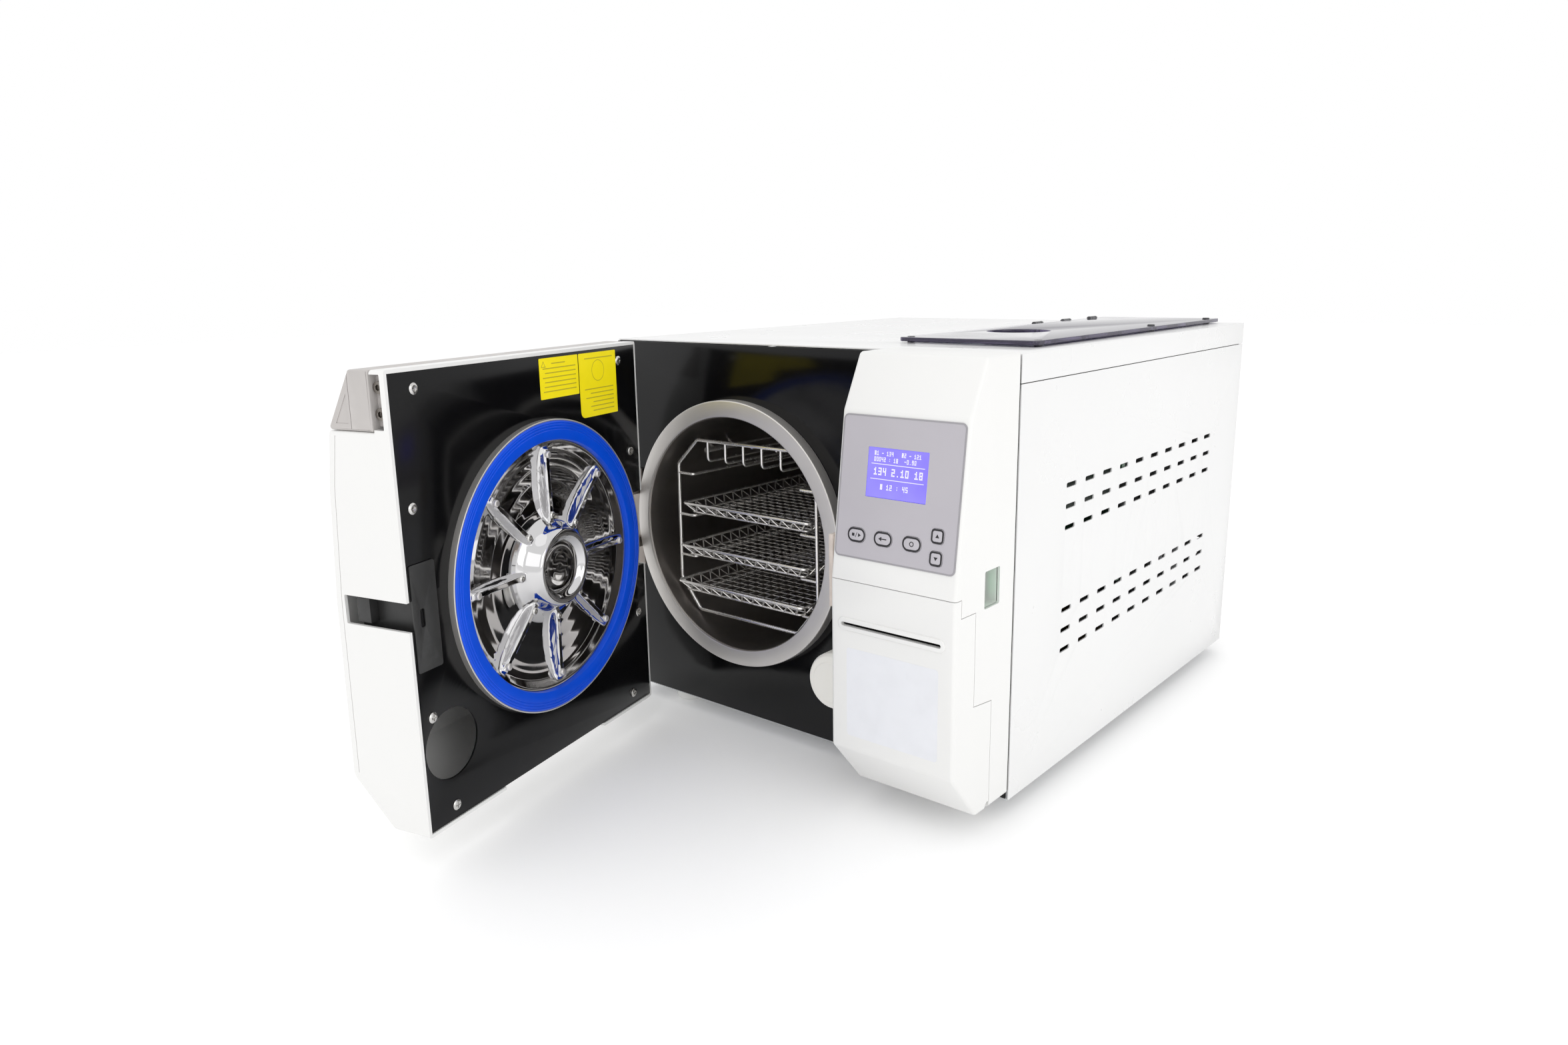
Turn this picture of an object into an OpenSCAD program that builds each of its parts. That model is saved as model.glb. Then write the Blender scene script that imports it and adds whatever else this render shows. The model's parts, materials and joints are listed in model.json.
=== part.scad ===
// Benchtop steam autoclave with its round chamber door open.
// Local layout: X across, front faces -Y, Z up from the cabinet's underside.

/* [Cabinet] */
// Width of the cabinet
body_w = 506; // [500:1:512]
// Depth of the cabinet behind its front panel
body_d = 566; // [562:1:572]
// Height of the cabinet without its feet
body_h = 407; // [406:1:410]
// Height of the feet
foot_h = 16; // [12:1:20]
// Radius of the feet
foot_r = 18; // [14:1:20]
// Thickness of the case sheets
sheet_t = 1.5; // [1:0.1:1.5]

/* [Chamber] */
// Centre of the chamber across the cabinet
chamber_x = -73; // [-74:0.5:-72]
// Height of the chamber's axis
chamber_z = 206; // [205:0.5:207]
// Inner radius of the chamber
chamber_r = 125; // [125:0.5:126]
// Outer radius of the ring round its mouth
ring_r = 143.2; // [142:0.1:143.2]
// Depth of the chamber
chamber_len = 455; // [440:5:460]

/* [Door] */
// Angle at which the door stands open
door_open = 75.5; // [60:0.5:90]
// Hinge pin across the cabinet
hinge_x = -218; // [-218.5:0.5:-217.5]
// Hinge pin in front of the panel
hinge_y = -74; // [-75:0.5:-73]
// Width of the outer rim of the door plate, as a radius
plate_r = 141; // [139:0.5:141]
// Outer radius of the door seal
seal_r = 139.5; // [136:0.5:139.5]
// Radius of the hole that clears the filter
filter_hole_r = 31.3; // [31:0.1:33]

/* [Trays] */
// Half width of a tray's rim
tray_half = 91.5; // [90:0.5:91.5]
// Length of a tray
tray_len = 380; // [340:5:400]
// Thickness of the rack's wires
wire = 4; // [3:0.5:4]

/* [Vents] */
// Length of one side vent
vent_l = 20.5; // [12:0.5:22]
// Height of one side vent
vent_h = 4.6; // [3:0.1:6]

/* [Hidden] */
$fn = 48;
y_shift = 88;
wx = body_w / 2;
hs_x0 = 125;
slope_a = atan(19 / 147);
tray_rims = [229, 182, 142];
tray_fronts = [5, -1, -7];
rack_y = 8;
rack_len = 400;
fan_x = 165;
fan_z = 130;
fan_y = 500;
cap_x = 79.2;
cap_z = 85.8;
lid_x = 74.5;
lid_z = 411.5;
cover_y = -36;
cover_z = 10.8;
rocker_x = 235;
rocker_y = -37.5;
rocker_z = 213.5;

// ---------- placing ----------

module place() {
  translate([0, -y_shift, foot_h]) children();
}

// everything on the door is drawn shut and then swung open
module swing() {
  place() translate([hinge_x, hinge_y, 0]) rotate([0, 0, -door_open])
    translate([-hinge_x, -hinge_y, 0]) children();
}

// the sloping face of the control housing: local z points out of it
module on_slope(x, z) {
  place() translate([x, -96 + (z - 214) * 19 / 147, z]) rotate([90 - slope_a, 0, 0]) children();
}

// a flat outline in y and z, drawn out from x0 to x1
module along_x(x0, x1) {
  translate([x0, 0, 0]) rotate([90, 0, 90]) linear_extrude(x1 - x0) children();
}

// a flat outline in x and z, drawn out from y0 to y1
module along_y(y0, y1) {
  translate([0, y1, 0]) rotate([90, 0, 0]) linear_extrude(y1 - y0) children();
}

// an outline of radius and y, turned about an axis along Y
module turn_y(x, z, n = 96) {
  translate([x, 0, z]) rotate([-90, 0, 0]) rotate_extrude($fn = n) children();
}

module box(a, b) {
  translate(a) cube([b[0] - a[0], b[1] - a[1], b[2] - a[2]]);
}

module round_rect(w, h, r) {
  offset(r = r) square([w - 2 * r, h - 2 * r], center = true);
}

// ---------- case ----------

module base_tray() color("silver") place() difference() {
  union() {
    box([-wx + 1.8, 2, 0], [wx - 1.8, body_d - 2, 1.5]);
    for (s = [-1, 1])
      box([s > 0 ? wx - 3.3 : -wx + 1.8, 2, 0], [s > 0 ? wx - 1.8 : -wx + 3.3, body_d - 2, 15]);
    for (y = [2, body_d - 3.5])
      box([-wx + 1.8, y, 0], [wx - 1.8, y + 1.5, 15]);
  }
  for (x = [100:24:220], y = [250, 420])
    translate([x, y, -1]) linear_extrude(4) round_rect(8, 60, 3.8);
}

module feet() color("whitesmoke") place() {
  for (x = [-186, 186], y = [31, 520])
    translate([x, y, -foot_h]) rotate_extrude($fn = 64)
      polygon([[0, 0], [foot_r - 2, 0], [foot_r, 2], [foot_r, foot_h - 2], [foot_r - 2, foot_h], [0, foot_h]]);
}

// vents stand in two blocks of three rows, each row a little lower than the last
module vents() {
  for (row = [280, 259.7, 239.4, 158.4, 138.1, 117.9], i = [0:9])
    translate([106.7 + i * 39.7, row]) round_rect(vent_l, vent_h, 1.6, $fn = 16);
}

module side_sheet(x0) {
  along_x(x0, x0 + sheet_t) difference() {
    translate([3, 0]) square([body_d - 3, 381.6]);
    vents();
  }
}

module left_side_panel() color("white") place() side_sheet(-wx);

module right_side_panel() color("white") place() side_sheet(wx - sheet_t);

module top_cover() color("white") place() difference() {
  union() {
    box([-wx, 3, body_h - 1.5], [wx, body_d, body_h]);
    for (s = [-1, 1])
      box([s > 0 ? wx - sheet_t : -wx, 3, 382.4], [s > 0 ? wx : -wx + sheet_t, body_d, body_h]);
    box([-wx, body_d - 1.5, 382.4], [wx, body_d, body_h]);
  }
  translate([152, 315, body_h - 5]) linear_extrude(10) round_rect(136, 446, 6);
}

module rear_panel() color("white") place() along_y(body_d - 3.2, body_d - 1.7) difference() {
  translate([-wx + 3.6, 15.5]) square([body_w - 7.2, body_h - 18]);
  for (i = [-5:5])
    translate([fan_x, fan_z + i * 9]) round_rect(2 * sqrt(55 * 55 - 81 * i * i), 5, 2, $fn = 16);
  translate([-180, 60]) square([48.4, 27.4], center = true);
  translate([chamber_x, 286]) circle(r = 15);
  for (x = [20, 60])
    translate([x, 50]) circle(r = 8);
}

module front_panel() color("black") place() along_y(0, 1.5) difference() {
  translate([-wx + 1.6, 2]) square([body_w - 3.2, body_h - 4]);
  translate([chamber_x, chamber_z]) circle(r = 130.4, $fn = 96);
  translate([cap_x, cap_z]) circle(r = 10);
  translate([135, 60]) square([104, 320]);
}

// ---------- control housing and its covers ----------

function housing_outline() = [[-0.5, 8], [-55, 8], [-96, 56], [-96, 214], [-77, 361], [-53, 409], [-0.5, 409]];
function housing_reach() = [[40, 8], [-55, 8], [-96, 56], [-96, 214], [-77, 361], [-53, 409], [40, 409]];

module housing_shell() difference() {
  along_x(hs_x0, wx) polygon(housing_outline());
  along_x(hs_x0 + 3, wx - 3) offset(delta = -3) polygon(housing_reach());
}

// side view of the part that folds down, grown by g on its seam
module cover_region(g = 0) {
  polygon([[-34 + g, 0], [-34 + g, 110 + g], [-64 + g, 113.5 + g], [-64 + g, 197.5 + g],
    [-87 + g, 198 + g], [-87 + g, 214 + g], [-120, 214 + g], [-120, 0]]);
}

module key_shape(w, h, r) {
  round_rect(w, h, r, $fn = 32);
}

// the five keys: x, z, width, height and corner radius
keys = [[150.4, 255.5, 18.6, 12.4, 6], [178, 255.5, 18.6, 12.4, 6], [207, 255.5, 18.6, 12.4, 6],
  [231.2, 265.4, 12.2, 12.2, 3.4], [231.2, 247, 12.2, 12.2, 3.4]];

module key_holes(depth, up) {
  for (k = keys)
    on_slope(k[0], k[1]) translate([0, 0, -depth]) linear_extrude(depth + up)
      key_shape(k[2] + 0.8, k[3] + 0.8, k[4] + 0.4);
}

module control_housing() color("white") difference() {
  union() {
    place() difference() {
      housing_shell();
      along_x(hs_x0 - 1, wx + 1) cover_region(0.6);
      // the barrel of the folding cover turns here
      along_x(hs_x0 - 1, wx + 1) translate([cover_y, cover_z]) circle(r = 4.4);
      box([wx - 4, -50, 197], [wx + 1, -25, 230]);
    }
    // walls and floor of the switch recess
    place() difference() {
      box([236, -52, 195.5], [wx - 2.5, -23, 231.5]);
      box([238, -50, 197], [wx + 1, -25, 230]);
      box([230, -46.4, 200.6], [240, -28.6, 226.4]);
    }
    // moulded pins that carry the folding cover
    place() for (x = [hs_x0 + 9, wx - 13]) {
      along_x(x, x + 4) difference() {
        polygon([[cover_y - 2, cover_z - 2.6], [-20, cover_z - 2.6], [-20, 40], [-26, 40], [cover_y - 2, cover_z + 2.6]]);
      }
      along_x(x - 4, x + 8) translate([cover_y, cover_z]) circle(r = 2);
      box([x, -26, 30], [x + 4, -1, 40]);
      box([x < 150 ? hs_x0 + 1 : x, -6, 30], [x < 150 ? x + 4 : wx - 1, -1, 40]);
    }
  }
  key_holes(6, 2);
  on_slope(186.5, 310.6) translate([0, 0, -6]) linear_extrude(8) square([61, 43], center = true);
}

module front_cover() color("white") place() {
  difference() {
    union() {
      intersection() {
        housing_shell();
        along_x(hs_x0 - 1, wx + 1) cover_region(0);
      }
      // raised surround of the paper slot
      along_y(-97.4, -94) translate([188.7, 174.6]) round_rect(110, 12, 5.8);
    }
    along_x(hs_x0 - 1, wx + 1) translate([cover_y, cover_z]) circle(r = 4.0);
    along_y(-110, -80) translate([188.7, 174.6]) round_rect(103, 3.6, 1.7);
  }
  // hinge barrels on the moulded pins
  for (x = [hs_x0 + 4.9, hs_x0 + 13.2, wx - 17.1, wx - 8.8]) difference() {
    along_x(x, x + 3.8) union() {
      translate([cover_y, cover_z]) circle(r = 3.4);
      translate([cover_y - 8, cover_z - 2.7]) square([6, 5.4]);
    }
    along_x(x - 1, x + 5) translate([cover_y, cover_z]) circle(r = 2.06);
  }
}

module keypad_overlay() color("gray") difference() {
  on_slope(189, 296.5) linear_extrude(0.8) round_rect(122, 124, 5);
  key_holes(1, 2);
  on_slope(186.5, 310.6) translate([0, 0, -1]) linear_extrude(3) square([60.6, 42.6], center = true);
}

module lcd_module() color("blue") {
  on_slope(186.5, 310.6) {
    translate([0, 0, -3.4]) linear_extrude(3.8) square([60, 42], center = true);
    translate([0, 0, -9]) linear_extrude(5.6) square([72, 52], center = true);
  }
}

module key_cap(i) {
  on_slope(keys[i][0], keys[i][1]) {
    translate([0, 0, -1.6]) linear_extrude(3) key_shape(keys[i][2], keys[i][3], keys[i][4]);
    translate([0, 0, -4]) cylinder(r = 2, h = 2.6);
  }
}

module start_key() color("gray") key_cap(0);
module back_key() color("gray") key_cap(1);
module ok_key() color("gray") key_cap(2);
module up_key() color("gray") key_cap(3);
module down_key() color("gray") key_cap(4);

module switch_frame() color("dimgray") place() difference() {
  union() {
    box([238, rocker_y - 10.4, rocker_z - 14.6], [239.2, rocker_y + 10.4, rocker_z + 14.6]);
    box([214, rocker_y - 8.8, rocker_z - 12.8], [238, rocker_y + 8.8, rocker_z + 12.8]);
  }
  box([222, rocker_y - 7.6, rocker_z - 12.4], [240, rocker_y + 7.6, rocker_z + 12.4]);
  translate([rocker_x, rocker_y - 8.4, rocker_z]) rotate([-90, 0, 0]) cylinder(r = 1.55, h = 16.8);
}

module power_rocker() color("limegreen") place() translate([rocker_x, rocker_y, rocker_z]) {
  rotate([0, -9, 0]) rotate([90, 0, 0]) linear_extrude(14.6, center = true)
    polygon([[-6, -7], [0, -12], [5, -11.4], [2.6, 0], [5, 11.4], [0, 12], [-6, 7]]);
  rotate([90, 0, 0]) cylinder(r = 1.5, h = 16.4, center = true);
}

module printer_module() color("dimgray") place() {
  difference() {
    box([140, -86, 112], [238, -40, 195]);
    box([146, -90, 118], [232, -44, 170]);
    box([143, -90, 173], [235, -60, 176.4]);
  }
  // spindle of the paper roll
  along_x(144, 234) translate([-66, 144]) circle(r = 5.94);
  // shelf that carries the printer from the front panel
  box([136, -40, 112], [242, -0.4, 116]);
}

module paper_roll() color("white") place() translate([189, -66, 144]) rotate([0, 90, 0]) {
  difference() {
    cylinder(r = 19, h = 78, center = true);
    cylinder(r = 6, h = 90, center = true);
  }
}

module latch_receiver() color("tan") place() difference() {
  union() {
    box([120.4, -92, 186], [hs_x0 - 0.4, -58, 252]);
    box([hs_x0 - 0.6, -90, 218], [hs_x0, -60, 250]);
  }
  box([119, -82, 197], [123.6, -64, 222]);
}

// ---------- chamber ----------

module chamber_ring() color("silver") place() turn_y(chamber_x, chamber_z) polygon([
  [chamber_r, -10], [chamber_r + 0.9, -12.1], [chamber_r + 3, -13], [ring_r - 1.2, -13], [ring_r, -11.8],
  [ring_r, -0.2], [chamber_r + 5, -0.2], [chamber_r + 5, 16], [chamber_r, 16]]);

module chamber_vessel() color("gray") place() {
  turn_y(chamber_x, chamber_z) polygon([
    [chamber_r, 16], [chamber_r + 3, 16], [chamber_r + 3, chamber_len - 14], [chamber_r - 8, chamber_len - 2],
    [70, chamber_len + 6], [0, chamber_len + 8], [0, chamber_len + 5], [70, chamber_len + 3],
    [chamber_r - 10, chamber_len - 5], [chamber_r, chamber_len - 16]]);
}

module chamber_probe() color("silver") place() {
  translate([-157, 40, 283]) rotate([-90, 0, 0]) cylinder(r = 3, h = 60, $fn = 24);
  for (y = [52, 84])
    translate([-157, y, 283]) rotate([0, -137.5, 0]) box([2, 0, -1.5], [10.6, 3, 1.5]);
}

// silicone heating mat next to the vessel, with its insulation round it
module heater_jacket() color("wheat") place() {
  turn_y(chamber_x, chamber_z) translate([chamber_r + 3.1, 60]) square([2.9, 330]);
  turn_y(chamber_x, chamber_z) translate([chamber_r + 6.2, 20]) square([16.8, 416]);
}

module chamber_cradles() color("silver") place() {
  for (y = [92, 350])
    along_y(y, y + 3) difference() {
      translate([-205, 1.5]) square([264, 110]);
      translate([chamber_x, chamber_z]) circle(r = chamber_r + 23.1, $fn = 96);
      translate([chamber_x, 30]) round_rect(150, 26, 8);
    }
}

// air filter that screws in beside the chamber
module filter_cap() color("ivory") place() {
  turn_y(cap_x, cap_z, 64) polygon([[0, -40], [22, -40], [27, -38], [28.5, -34], [28.5, -12], [26, -8], [0, -8]]);
  translate([cap_x, -9, cap_z]) rotate([-90, 0, 0]) cylinder(r = 12, h = 8.8);
  translate([cap_x, -2, cap_z]) rotate([-90, 0, 0]) cylinder(r = 8, h = 24);
}

// ---------- rack and trays ----------

function rack_points() = [[-68, 94], [68, 94], [98, 65], [99, -66], [71, -100], [-71, -100], [-99, -66], [-98, 65]];

module rack_frame() difference() {
  offset(delta = wire / 2) polygon(rack_points());
  offset(delta = -wire / 2) polygon(rack_points());
}

module tray_rack() color("silver") place() translate([chamber_x, 0, chamber_z]) {
  for (y = [rack_y, rack_y + rack_len - wire])
    along_y(y, y + wire) rack_frame();
  // rails under each tray, and a free pair above
  for (z = [tray_rims[2] - 17.2, tray_rims[1] - 17.2, tray_rims[0] - 17.2, 258.8], s = [-1, 1]) {
    h = z - chamber_z;
    out = h < -62 ? 88 : 97.6;
    box([s > 0 ? 74 : -78, rack_y, h], [s > 0 ? 78 : -74, rack_y + rack_len, h + wire]);
    for (y = [rack_y, rack_y + rack_len - wire])
      box([s > 0 ? 74 : -out, y, h], [s > 0 ? out : -74, y + wire, h + wire]);
  }
  // runs hanging from the top bar
  for (i = [-2:2]) {
    box([i * 26 - 1.6, rack_y, 70], [i * 26 + 1.6, rack_y + 3.2, 93]);
    box([i * 26 - 1.6, rack_y + rack_len - 3.2, 70], [i * 26 + 1.6, rack_y + rack_len, 93]);
    box([i * 26 - 1.6, rack_y, 70], [i * 26 + 1.6, rack_y + rack_len, 73.2]);
  }
}

module tray(i) {
  y0 = tray_fronts[i];
  inner = tray_half - 9;
  place() translate([chamber_x, y0, tray_rims[i]]) {
    // rim
    translate([0, 0, -3]) linear_extrude(3) difference() {
      translate([-tray_half, 0]) square([2 * tray_half, tray_len]);
      translate([-tray_half + 3, 3]) square([2 * tray_half - 6, tray_len - 6]);
    }
    // mesh floor
    translate([0, 0, -13]) linear_extrude(1.8) difference() {
      translate([-inner, 9]) square([2 * inner, tray_len - 18]);
      for (a = [0:6], b = [0:14])
        translate([-inner + 2 + a * (2 * inner - 2) / 7, 11 + b * (tray_len - 20) / 15])
          square([(2 * inner - 2) / 7 - 2, (tray_len - 20) / 15 - 2]);
    }
    // sloping side wires
    for (s = [-1, 1], b = [0:10])
      along_y(20 + b * (tray_len - 42) / 10, 22 + b * (tray_len - 42) / 10) scale([s, 1])
        polygon([[inner - 2, -12.9], [inner, -12.9], [tray_half, -2.9], [tray_half, -0.1], [tray_half - 2, -0.1], [inner - 2, -10.6]]);
    for (a = [-3:3]) {
      along_x(a * inner / 3.5 - 1, a * inner / 3.5 + 1)
        polygon([[9, -12.9], [11, -12.9], [11, -10.6], [2, -0.1], [0, -0.1], [0, -2.9]]);
      along_x(a * inner / 3.5 - 1, a * inner / 3.5 + 1) translate([tray_len, 0]) scale([-1, 1])
        polygon([[9, -12.9], [11, -12.9], [11, -10.6], [2, -0.1], [0, -0.1], [0, -2.9]]);
    }
  }
}

module top_tray() color("silver") tray(0);
module middle_tray() color("silver") tray(1);
module bottom_tray() color("silver") tray(2);

// ---------- inside the cabinet ----------

module open_tank(x0, x1) difference() {
  union() {
    box([x0, 94, 300], [x1, 536, 405.2]);
    // flange that hangs the tank from the top cover
    box([x0, 86, 403.2], [x1, 544, 405.2]);
  }
  box([x0 + 2.5, 96.5, 303], [x1 - 2.5, 533.5, 410]);
}

module clean_water_tank() color("lightblue") place() open_tank(86, 150);
module used_water_tank() color("lightgray") place() open_tank(154, 218);

module control_board() color("green") place() {
  box([232, 20, 150], [234, 240, 290]);
  box([214, 40, 170], [232, 90, 200]);
  box([220, 110, 220], [232, 180, 270]);
  for (y = [40:20:100])
    box([222, y, 240], [232, y + 12, 262]);
  for (y = [30, 224], z = [158, 276])
    box([234, y, z], [wx - 1.6, y + 8, z + 8]);
}

module power_supply() color("silver") place() difference() {
  box([180, 260, 1.5], [240, 400, 92]);
  for (y = [275:12:380])
    box([178, y, 30], [181.5, y + 5, 80]);
}

module vacuum_pump() color("dimgray") place() {
  box([96, 40, 1.5], [196, 180, 6]);
  box([112, 60, 6], [180, 160, 22]);
  translate([146, 46, 56]) rotate([-90, 0, 0]) cylinder(r = 36, h = 110);
  for (y = [60, 124]) {
    box([122, y, 90], [170, y + 30, 112]);
    box([118, y - 2, 112], [174, y + 32, 128]);
  }
}

module water_pump() color("white") place() {
  box([206, 34, 1.5], [238, 104, 10]);
  translate([222, 38, 32]) rotate([-90, 0, 0]) cylinder(r = 15, h = 62);
  box([214, 50, 10], [230, 88, 20]);
}

module steam_generator() color("silver") place() {
  translate([130, 310, 1.5]) cylinder(r = 44, h = 5);
  translate([130, 310, 6]) cylinder(r = 36, h = 104);
  translate([130, 310, 110]) cylinder(r = 40, h = 8);
  for (a = [0:60:300])
    translate([130 + 33 * cos(a), 310 + 33 * sin(a), 118]) cylinder(r = 4, h = 4, $fn = 6);
}

module solenoid_valves() color("goldenrod") place() {
  box([92, 206, 1.5], [212, 209, 150]);
  for (x = [100, 138, 176]) {
    box([x, 209, 100], [x + 30, 239, 124]);
    translate([x + 15, 224, 124]) cylinder(r = 12, h = 34);
  }
}

module condenser() color("silver") place() {
  for (i = [0:11])
    box([108 + i * 10, 440, 66], [109.6 + i * 10, 480, 196]);
  for (z = [80, 110, 140, 170])
    translate([104, 460, z]) rotate([0, 90, 0]) cylinder(r = 5, h = 122, $fn = 24);
  for (x = [104, 222])
    box([x, 440, 1.5], [x + 4, 480, 200]);
}

module fan_frame() color("black") place() {
  along_y(fan_y, fan_y + 25) difference() {
    translate([fan_x, fan_z]) round_rect(120, 120, 5);
    translate([fan_x, fan_z]) circle(r = 57, $fn = 64);
  }
  // hub and spokes
  along_y(fan_y + 20, fan_y + 24) translate([fan_x, fan_z]) difference() {
    union() {
      circle(r = 22);
      for (a = [45:90:315])
        rotate(a) translate([20, -2.5]) square([39, 5]);
    }
    circle(r = 2.55);
  }
  for (x = [fan_x - 58, fan_x + 50])
    box([x, fan_y + 3, 1.5], [x + 8, fan_y + 22, fan_z - 59]);
}

module fan_rotor() color("dimgray") place() translate([fan_x, fan_y, fan_z]) {
  translate([0, 3, 0]) rotate([-90, 0, 0]) cylinder(r = 21, h = 15.6);
  translate([0, 10, 0]) rotate([-90, 0, 0]) cylinder(r = 2.5, h = 14);
  for (a = [0:360 / 7:359])
    rotate([0, a, 0]) translate([19, 10.8, 0]) rotate([38, 0, 0]) cube([35.5, 1.6, 15], center = false);
}

module mains_inlet() color("black") place() difference() {
  union() {
    box([-204, 540, 46.5], [-156, body_d - 3.2, 73.5]);
    along_y(body_d - 1.7, body_d + 1) translate([-180, 60]) round_rect(60, 34, 4);
    box([-204, body_d - 4, 46.5], [-156, body_d, 73.5]);
  }
  box([-199, 550, 51], [-161, body_d + 5, 69]);
}

module drain_ports() color("goldenrod") place() {
  for (x = [20, 60]) difference() {
    union() {
      translate([x, 540, 50]) rotate([-90, 0, 0]) cylinder(r = 7.5, h = body_d - 540);
      translate([x, body_d - 1.7, 50]) rotate([-90, 0, 0]) cylinder(r = 11, h = 4, $fn = 6);
      translate([x, body_d, 50]) rotate([-90, 0, 0]) cylinder(r = 5, h = 18.3);
    }
    translate([x, 530, 50]) rotate([-90, 0, 0]) cylinder(r = 3, h = 60);
  }
}

module safety_valve() color("goldenrod") place() {
  translate([chamber_x, chamber_len + 6.4, 286]) rotate([-90, 0, 0]) {
    cylinder(r = 8, h = 30);
    translate([0, 0, 28]) cylinder(r = 14, h = 16, $fn = 6);
    translate([0, 0, 44]) cylinder(r = 11, h = 62);
    translate([0, 0, 106]) cylinder(r = 13, h = 12);
  }
}

// ---------- tank lid ----------

module lid_hinges() color("dimgray") place() {
  for (y = [375, 450, 525]) {
    box([58, y - 10, body_h], [72, y + 10, body_h + 1.6]);
    for (s = [-10, 5.2])
      difference() {
        union() {
          translate([lid_x, y + s, lid_z]) rotate([-90, 0, 0]) cylinder(r = 3, h = 4.8, $fn = 32);
          box([lid_x - 4.5, y + s, body_h], [lid_x + 1, y + s + 4.8, lid_z - 1]);
        }
      }
    translate([lid_x, y - 10, lid_z]) rotate([-90, 0, 0]) cylinder(r = 1.5, h = 20, $fn = 32);
  }
}

module tank_lid() color("slateblue") place() {
  difference() {
    translate([0, 0, 408.8]) linear_extrude(4) difference() {
      translate([153.4, 312.5]) round_rect(150, 475, 6);
      translate([135, 215]) circle(r = 33, $fn = 64);
    }
    for (y = [375, 450, 525])
      box([70, y - 10.6, 400], [79.4, y + 10.6, 420]);
  }
  for (y = [375, 450, 525]) difference() {
    union() {
      translate([lid_x, y - 4.8, lid_z]) rotate([-90, 0, 0]) cylinder(r = 3, h = 9.6, $fn = 32);
      box([lid_x, y - 4.8, 409.3], [81, y + 4.8, 412.8]);
    }
    translate([lid_x, y - 6, lid_z]) rotate([-90, 0, 0]) cylinder(r = 1.56, h = 12, $fn = 32);
  }
  // pads that it comes down on
  for (p = [[222, 352], [222, 521], [222, 90], [84, 90]])
    translate([p[0], p[1], body_h + 0.2]) cylinder(r = 4, h = 8, $fn = 32);
}

// ---------- hinge ----------

module ear_outline() {
  circle_at = [hinge_x, hinge_y];
  difference() {
    union() {
      translate(circle_at) circle(r = 13);
      translate([-228, hinge_y]) square([10.5, -hinge_y - 1]);
    }
    translate(circle_at) circle(r = 6.05);
  }
}

module hinge_bracket() color("silver") place() {
  box([-249, -5, 150], [-217.5, 0, 262]);
  for (z = [172, 234])
    translate([0, 0, z]) linear_extrude(12) ear_outline();
}

module hinge_pin() color("silver") place() translate([hinge_x, hinge_y, 0]) {
  translate([0, 0, 168]) cylinder(r = 6, h = 81);
  translate([0, 0, 246.2]) cylinder(r = 9, h = 4);
}

module door_arm() color("silver") swing() difference() {
  union() {
    translate([hinge_x, hinge_y, 184.4]) cylinder(r = 13, h = 49.2);
    box([hinge_x + 8, hinge_y - 7, 188], [-48, hinge_y + 7, 230]);
    // stud that carries the door plate
    translate([chamber_x, hinge_y + 5, chamber_z]) rotate([-90, 0, 0]) cylinder(r = 16, h = 53);
  }
  translate([hinge_x, hinge_y, 180]) cylinder(r = 6.05, h = 60);
  box([-190, hinge_y - 20, 200], [-110, hinge_y + 20, 218]);
}

// ---------- door ----------

function door_outline() = [[-21, 13], [-62, 13], [-104, 56], [-101, 214], [-94, 313], [-87, 360],
  [-38, 360], [-38, 409], [-21, 409]];
function door_reach() = [[0, 13], [-62, 13], [-104, 56], [-101, 214], [-94, 313], [-87, 360],
  [-38, 360], [-38, 409], [0, 409]];

module door_cover() color("white") swing() difference() {
  along_x(-233, 115.5) polygon(door_outline());
  along_x(-230, 112.5) offset(delta = -3) polygon(door_reach());
  // way through for the hinge
  box([-240, -98.2, 168], [-228, -10, 250]);
  // slot of the latch
  box([108, -90, 197], [120, -10, 222]);
  // two grooves across the front
  along_x(-234, 117) polygon([[-98, 317], [-91.8, 313], [-98, 309]]);
  along_x(-234, 117) polygon([[-107, 101.5], [-101.2, 98], [-107, 94.5]]);
  // recess that shows the handle's bolts
  box([104, -38.5, 362], [120, -26, 405.5]);
  // eased edge beside the hinge, which clears the trays
  translate([0, 0, 5]) linear_extrude(410) polygon([[-234, -22.9], [-234, -20], [-225.6, -20], [-225.6, -21]]);
  // notches in the lower lip
  box([-140, -30, 10], [17, -10, 17]);
}

module door_panel() color("black") swing() along_y(-24, -22) difference() {
  translate([-229.6, 16.4]) square([341.7, 389.2]);
  translate([chamber_x, chamber_z]) circle(r = 134, $fn = 96);
  translate([78.4, cap_z]) circle(r = filter_hole_r, $fn = 64);
  translate([-240, 168]) square([26.5, 82]);
  translate([104, 197]) square([20, 25]);
}

// profile of the pressed plate: radius and distance in front of the panel
function plate_front() = [[plate_r, 0], [plate_r, 5.8], [seal_r + 0.2, 6.6], [seal_r + 0.2, 1.2], [120.6, 1.2],
  [118, 0.2], [110, -3.4], [98, -5.8], [80, -7], [62, -6.4], [50, -3.6], [43, 2], [40.4, 9], [38, 14],
  [35, 16], [31, 16], [28.6, 12], [26, 9.6], [20, 8.8], [0, 8.5]];

module door_plate() color("gainsboro") swing() {
  turn_y(chamber_x, chamber_z) translate([0, -22]) polygon(concat(plate_front(), [
    [0, 6], [24, 6.4], [30, 9], [33, 12.5], [36, 11.5], [37.6, 6], [41, -2], [49, -7.4], [62, -9.4],
    [80, -9.8], [99, -8.6], [111.5, -6], [119.5, -2.4], [123, 0]]));
  for (a = [0:45:315])
    translate([chamber_x, -22, chamber_z]) rotate([0, a, 0]) along_ribs();
}

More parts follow.
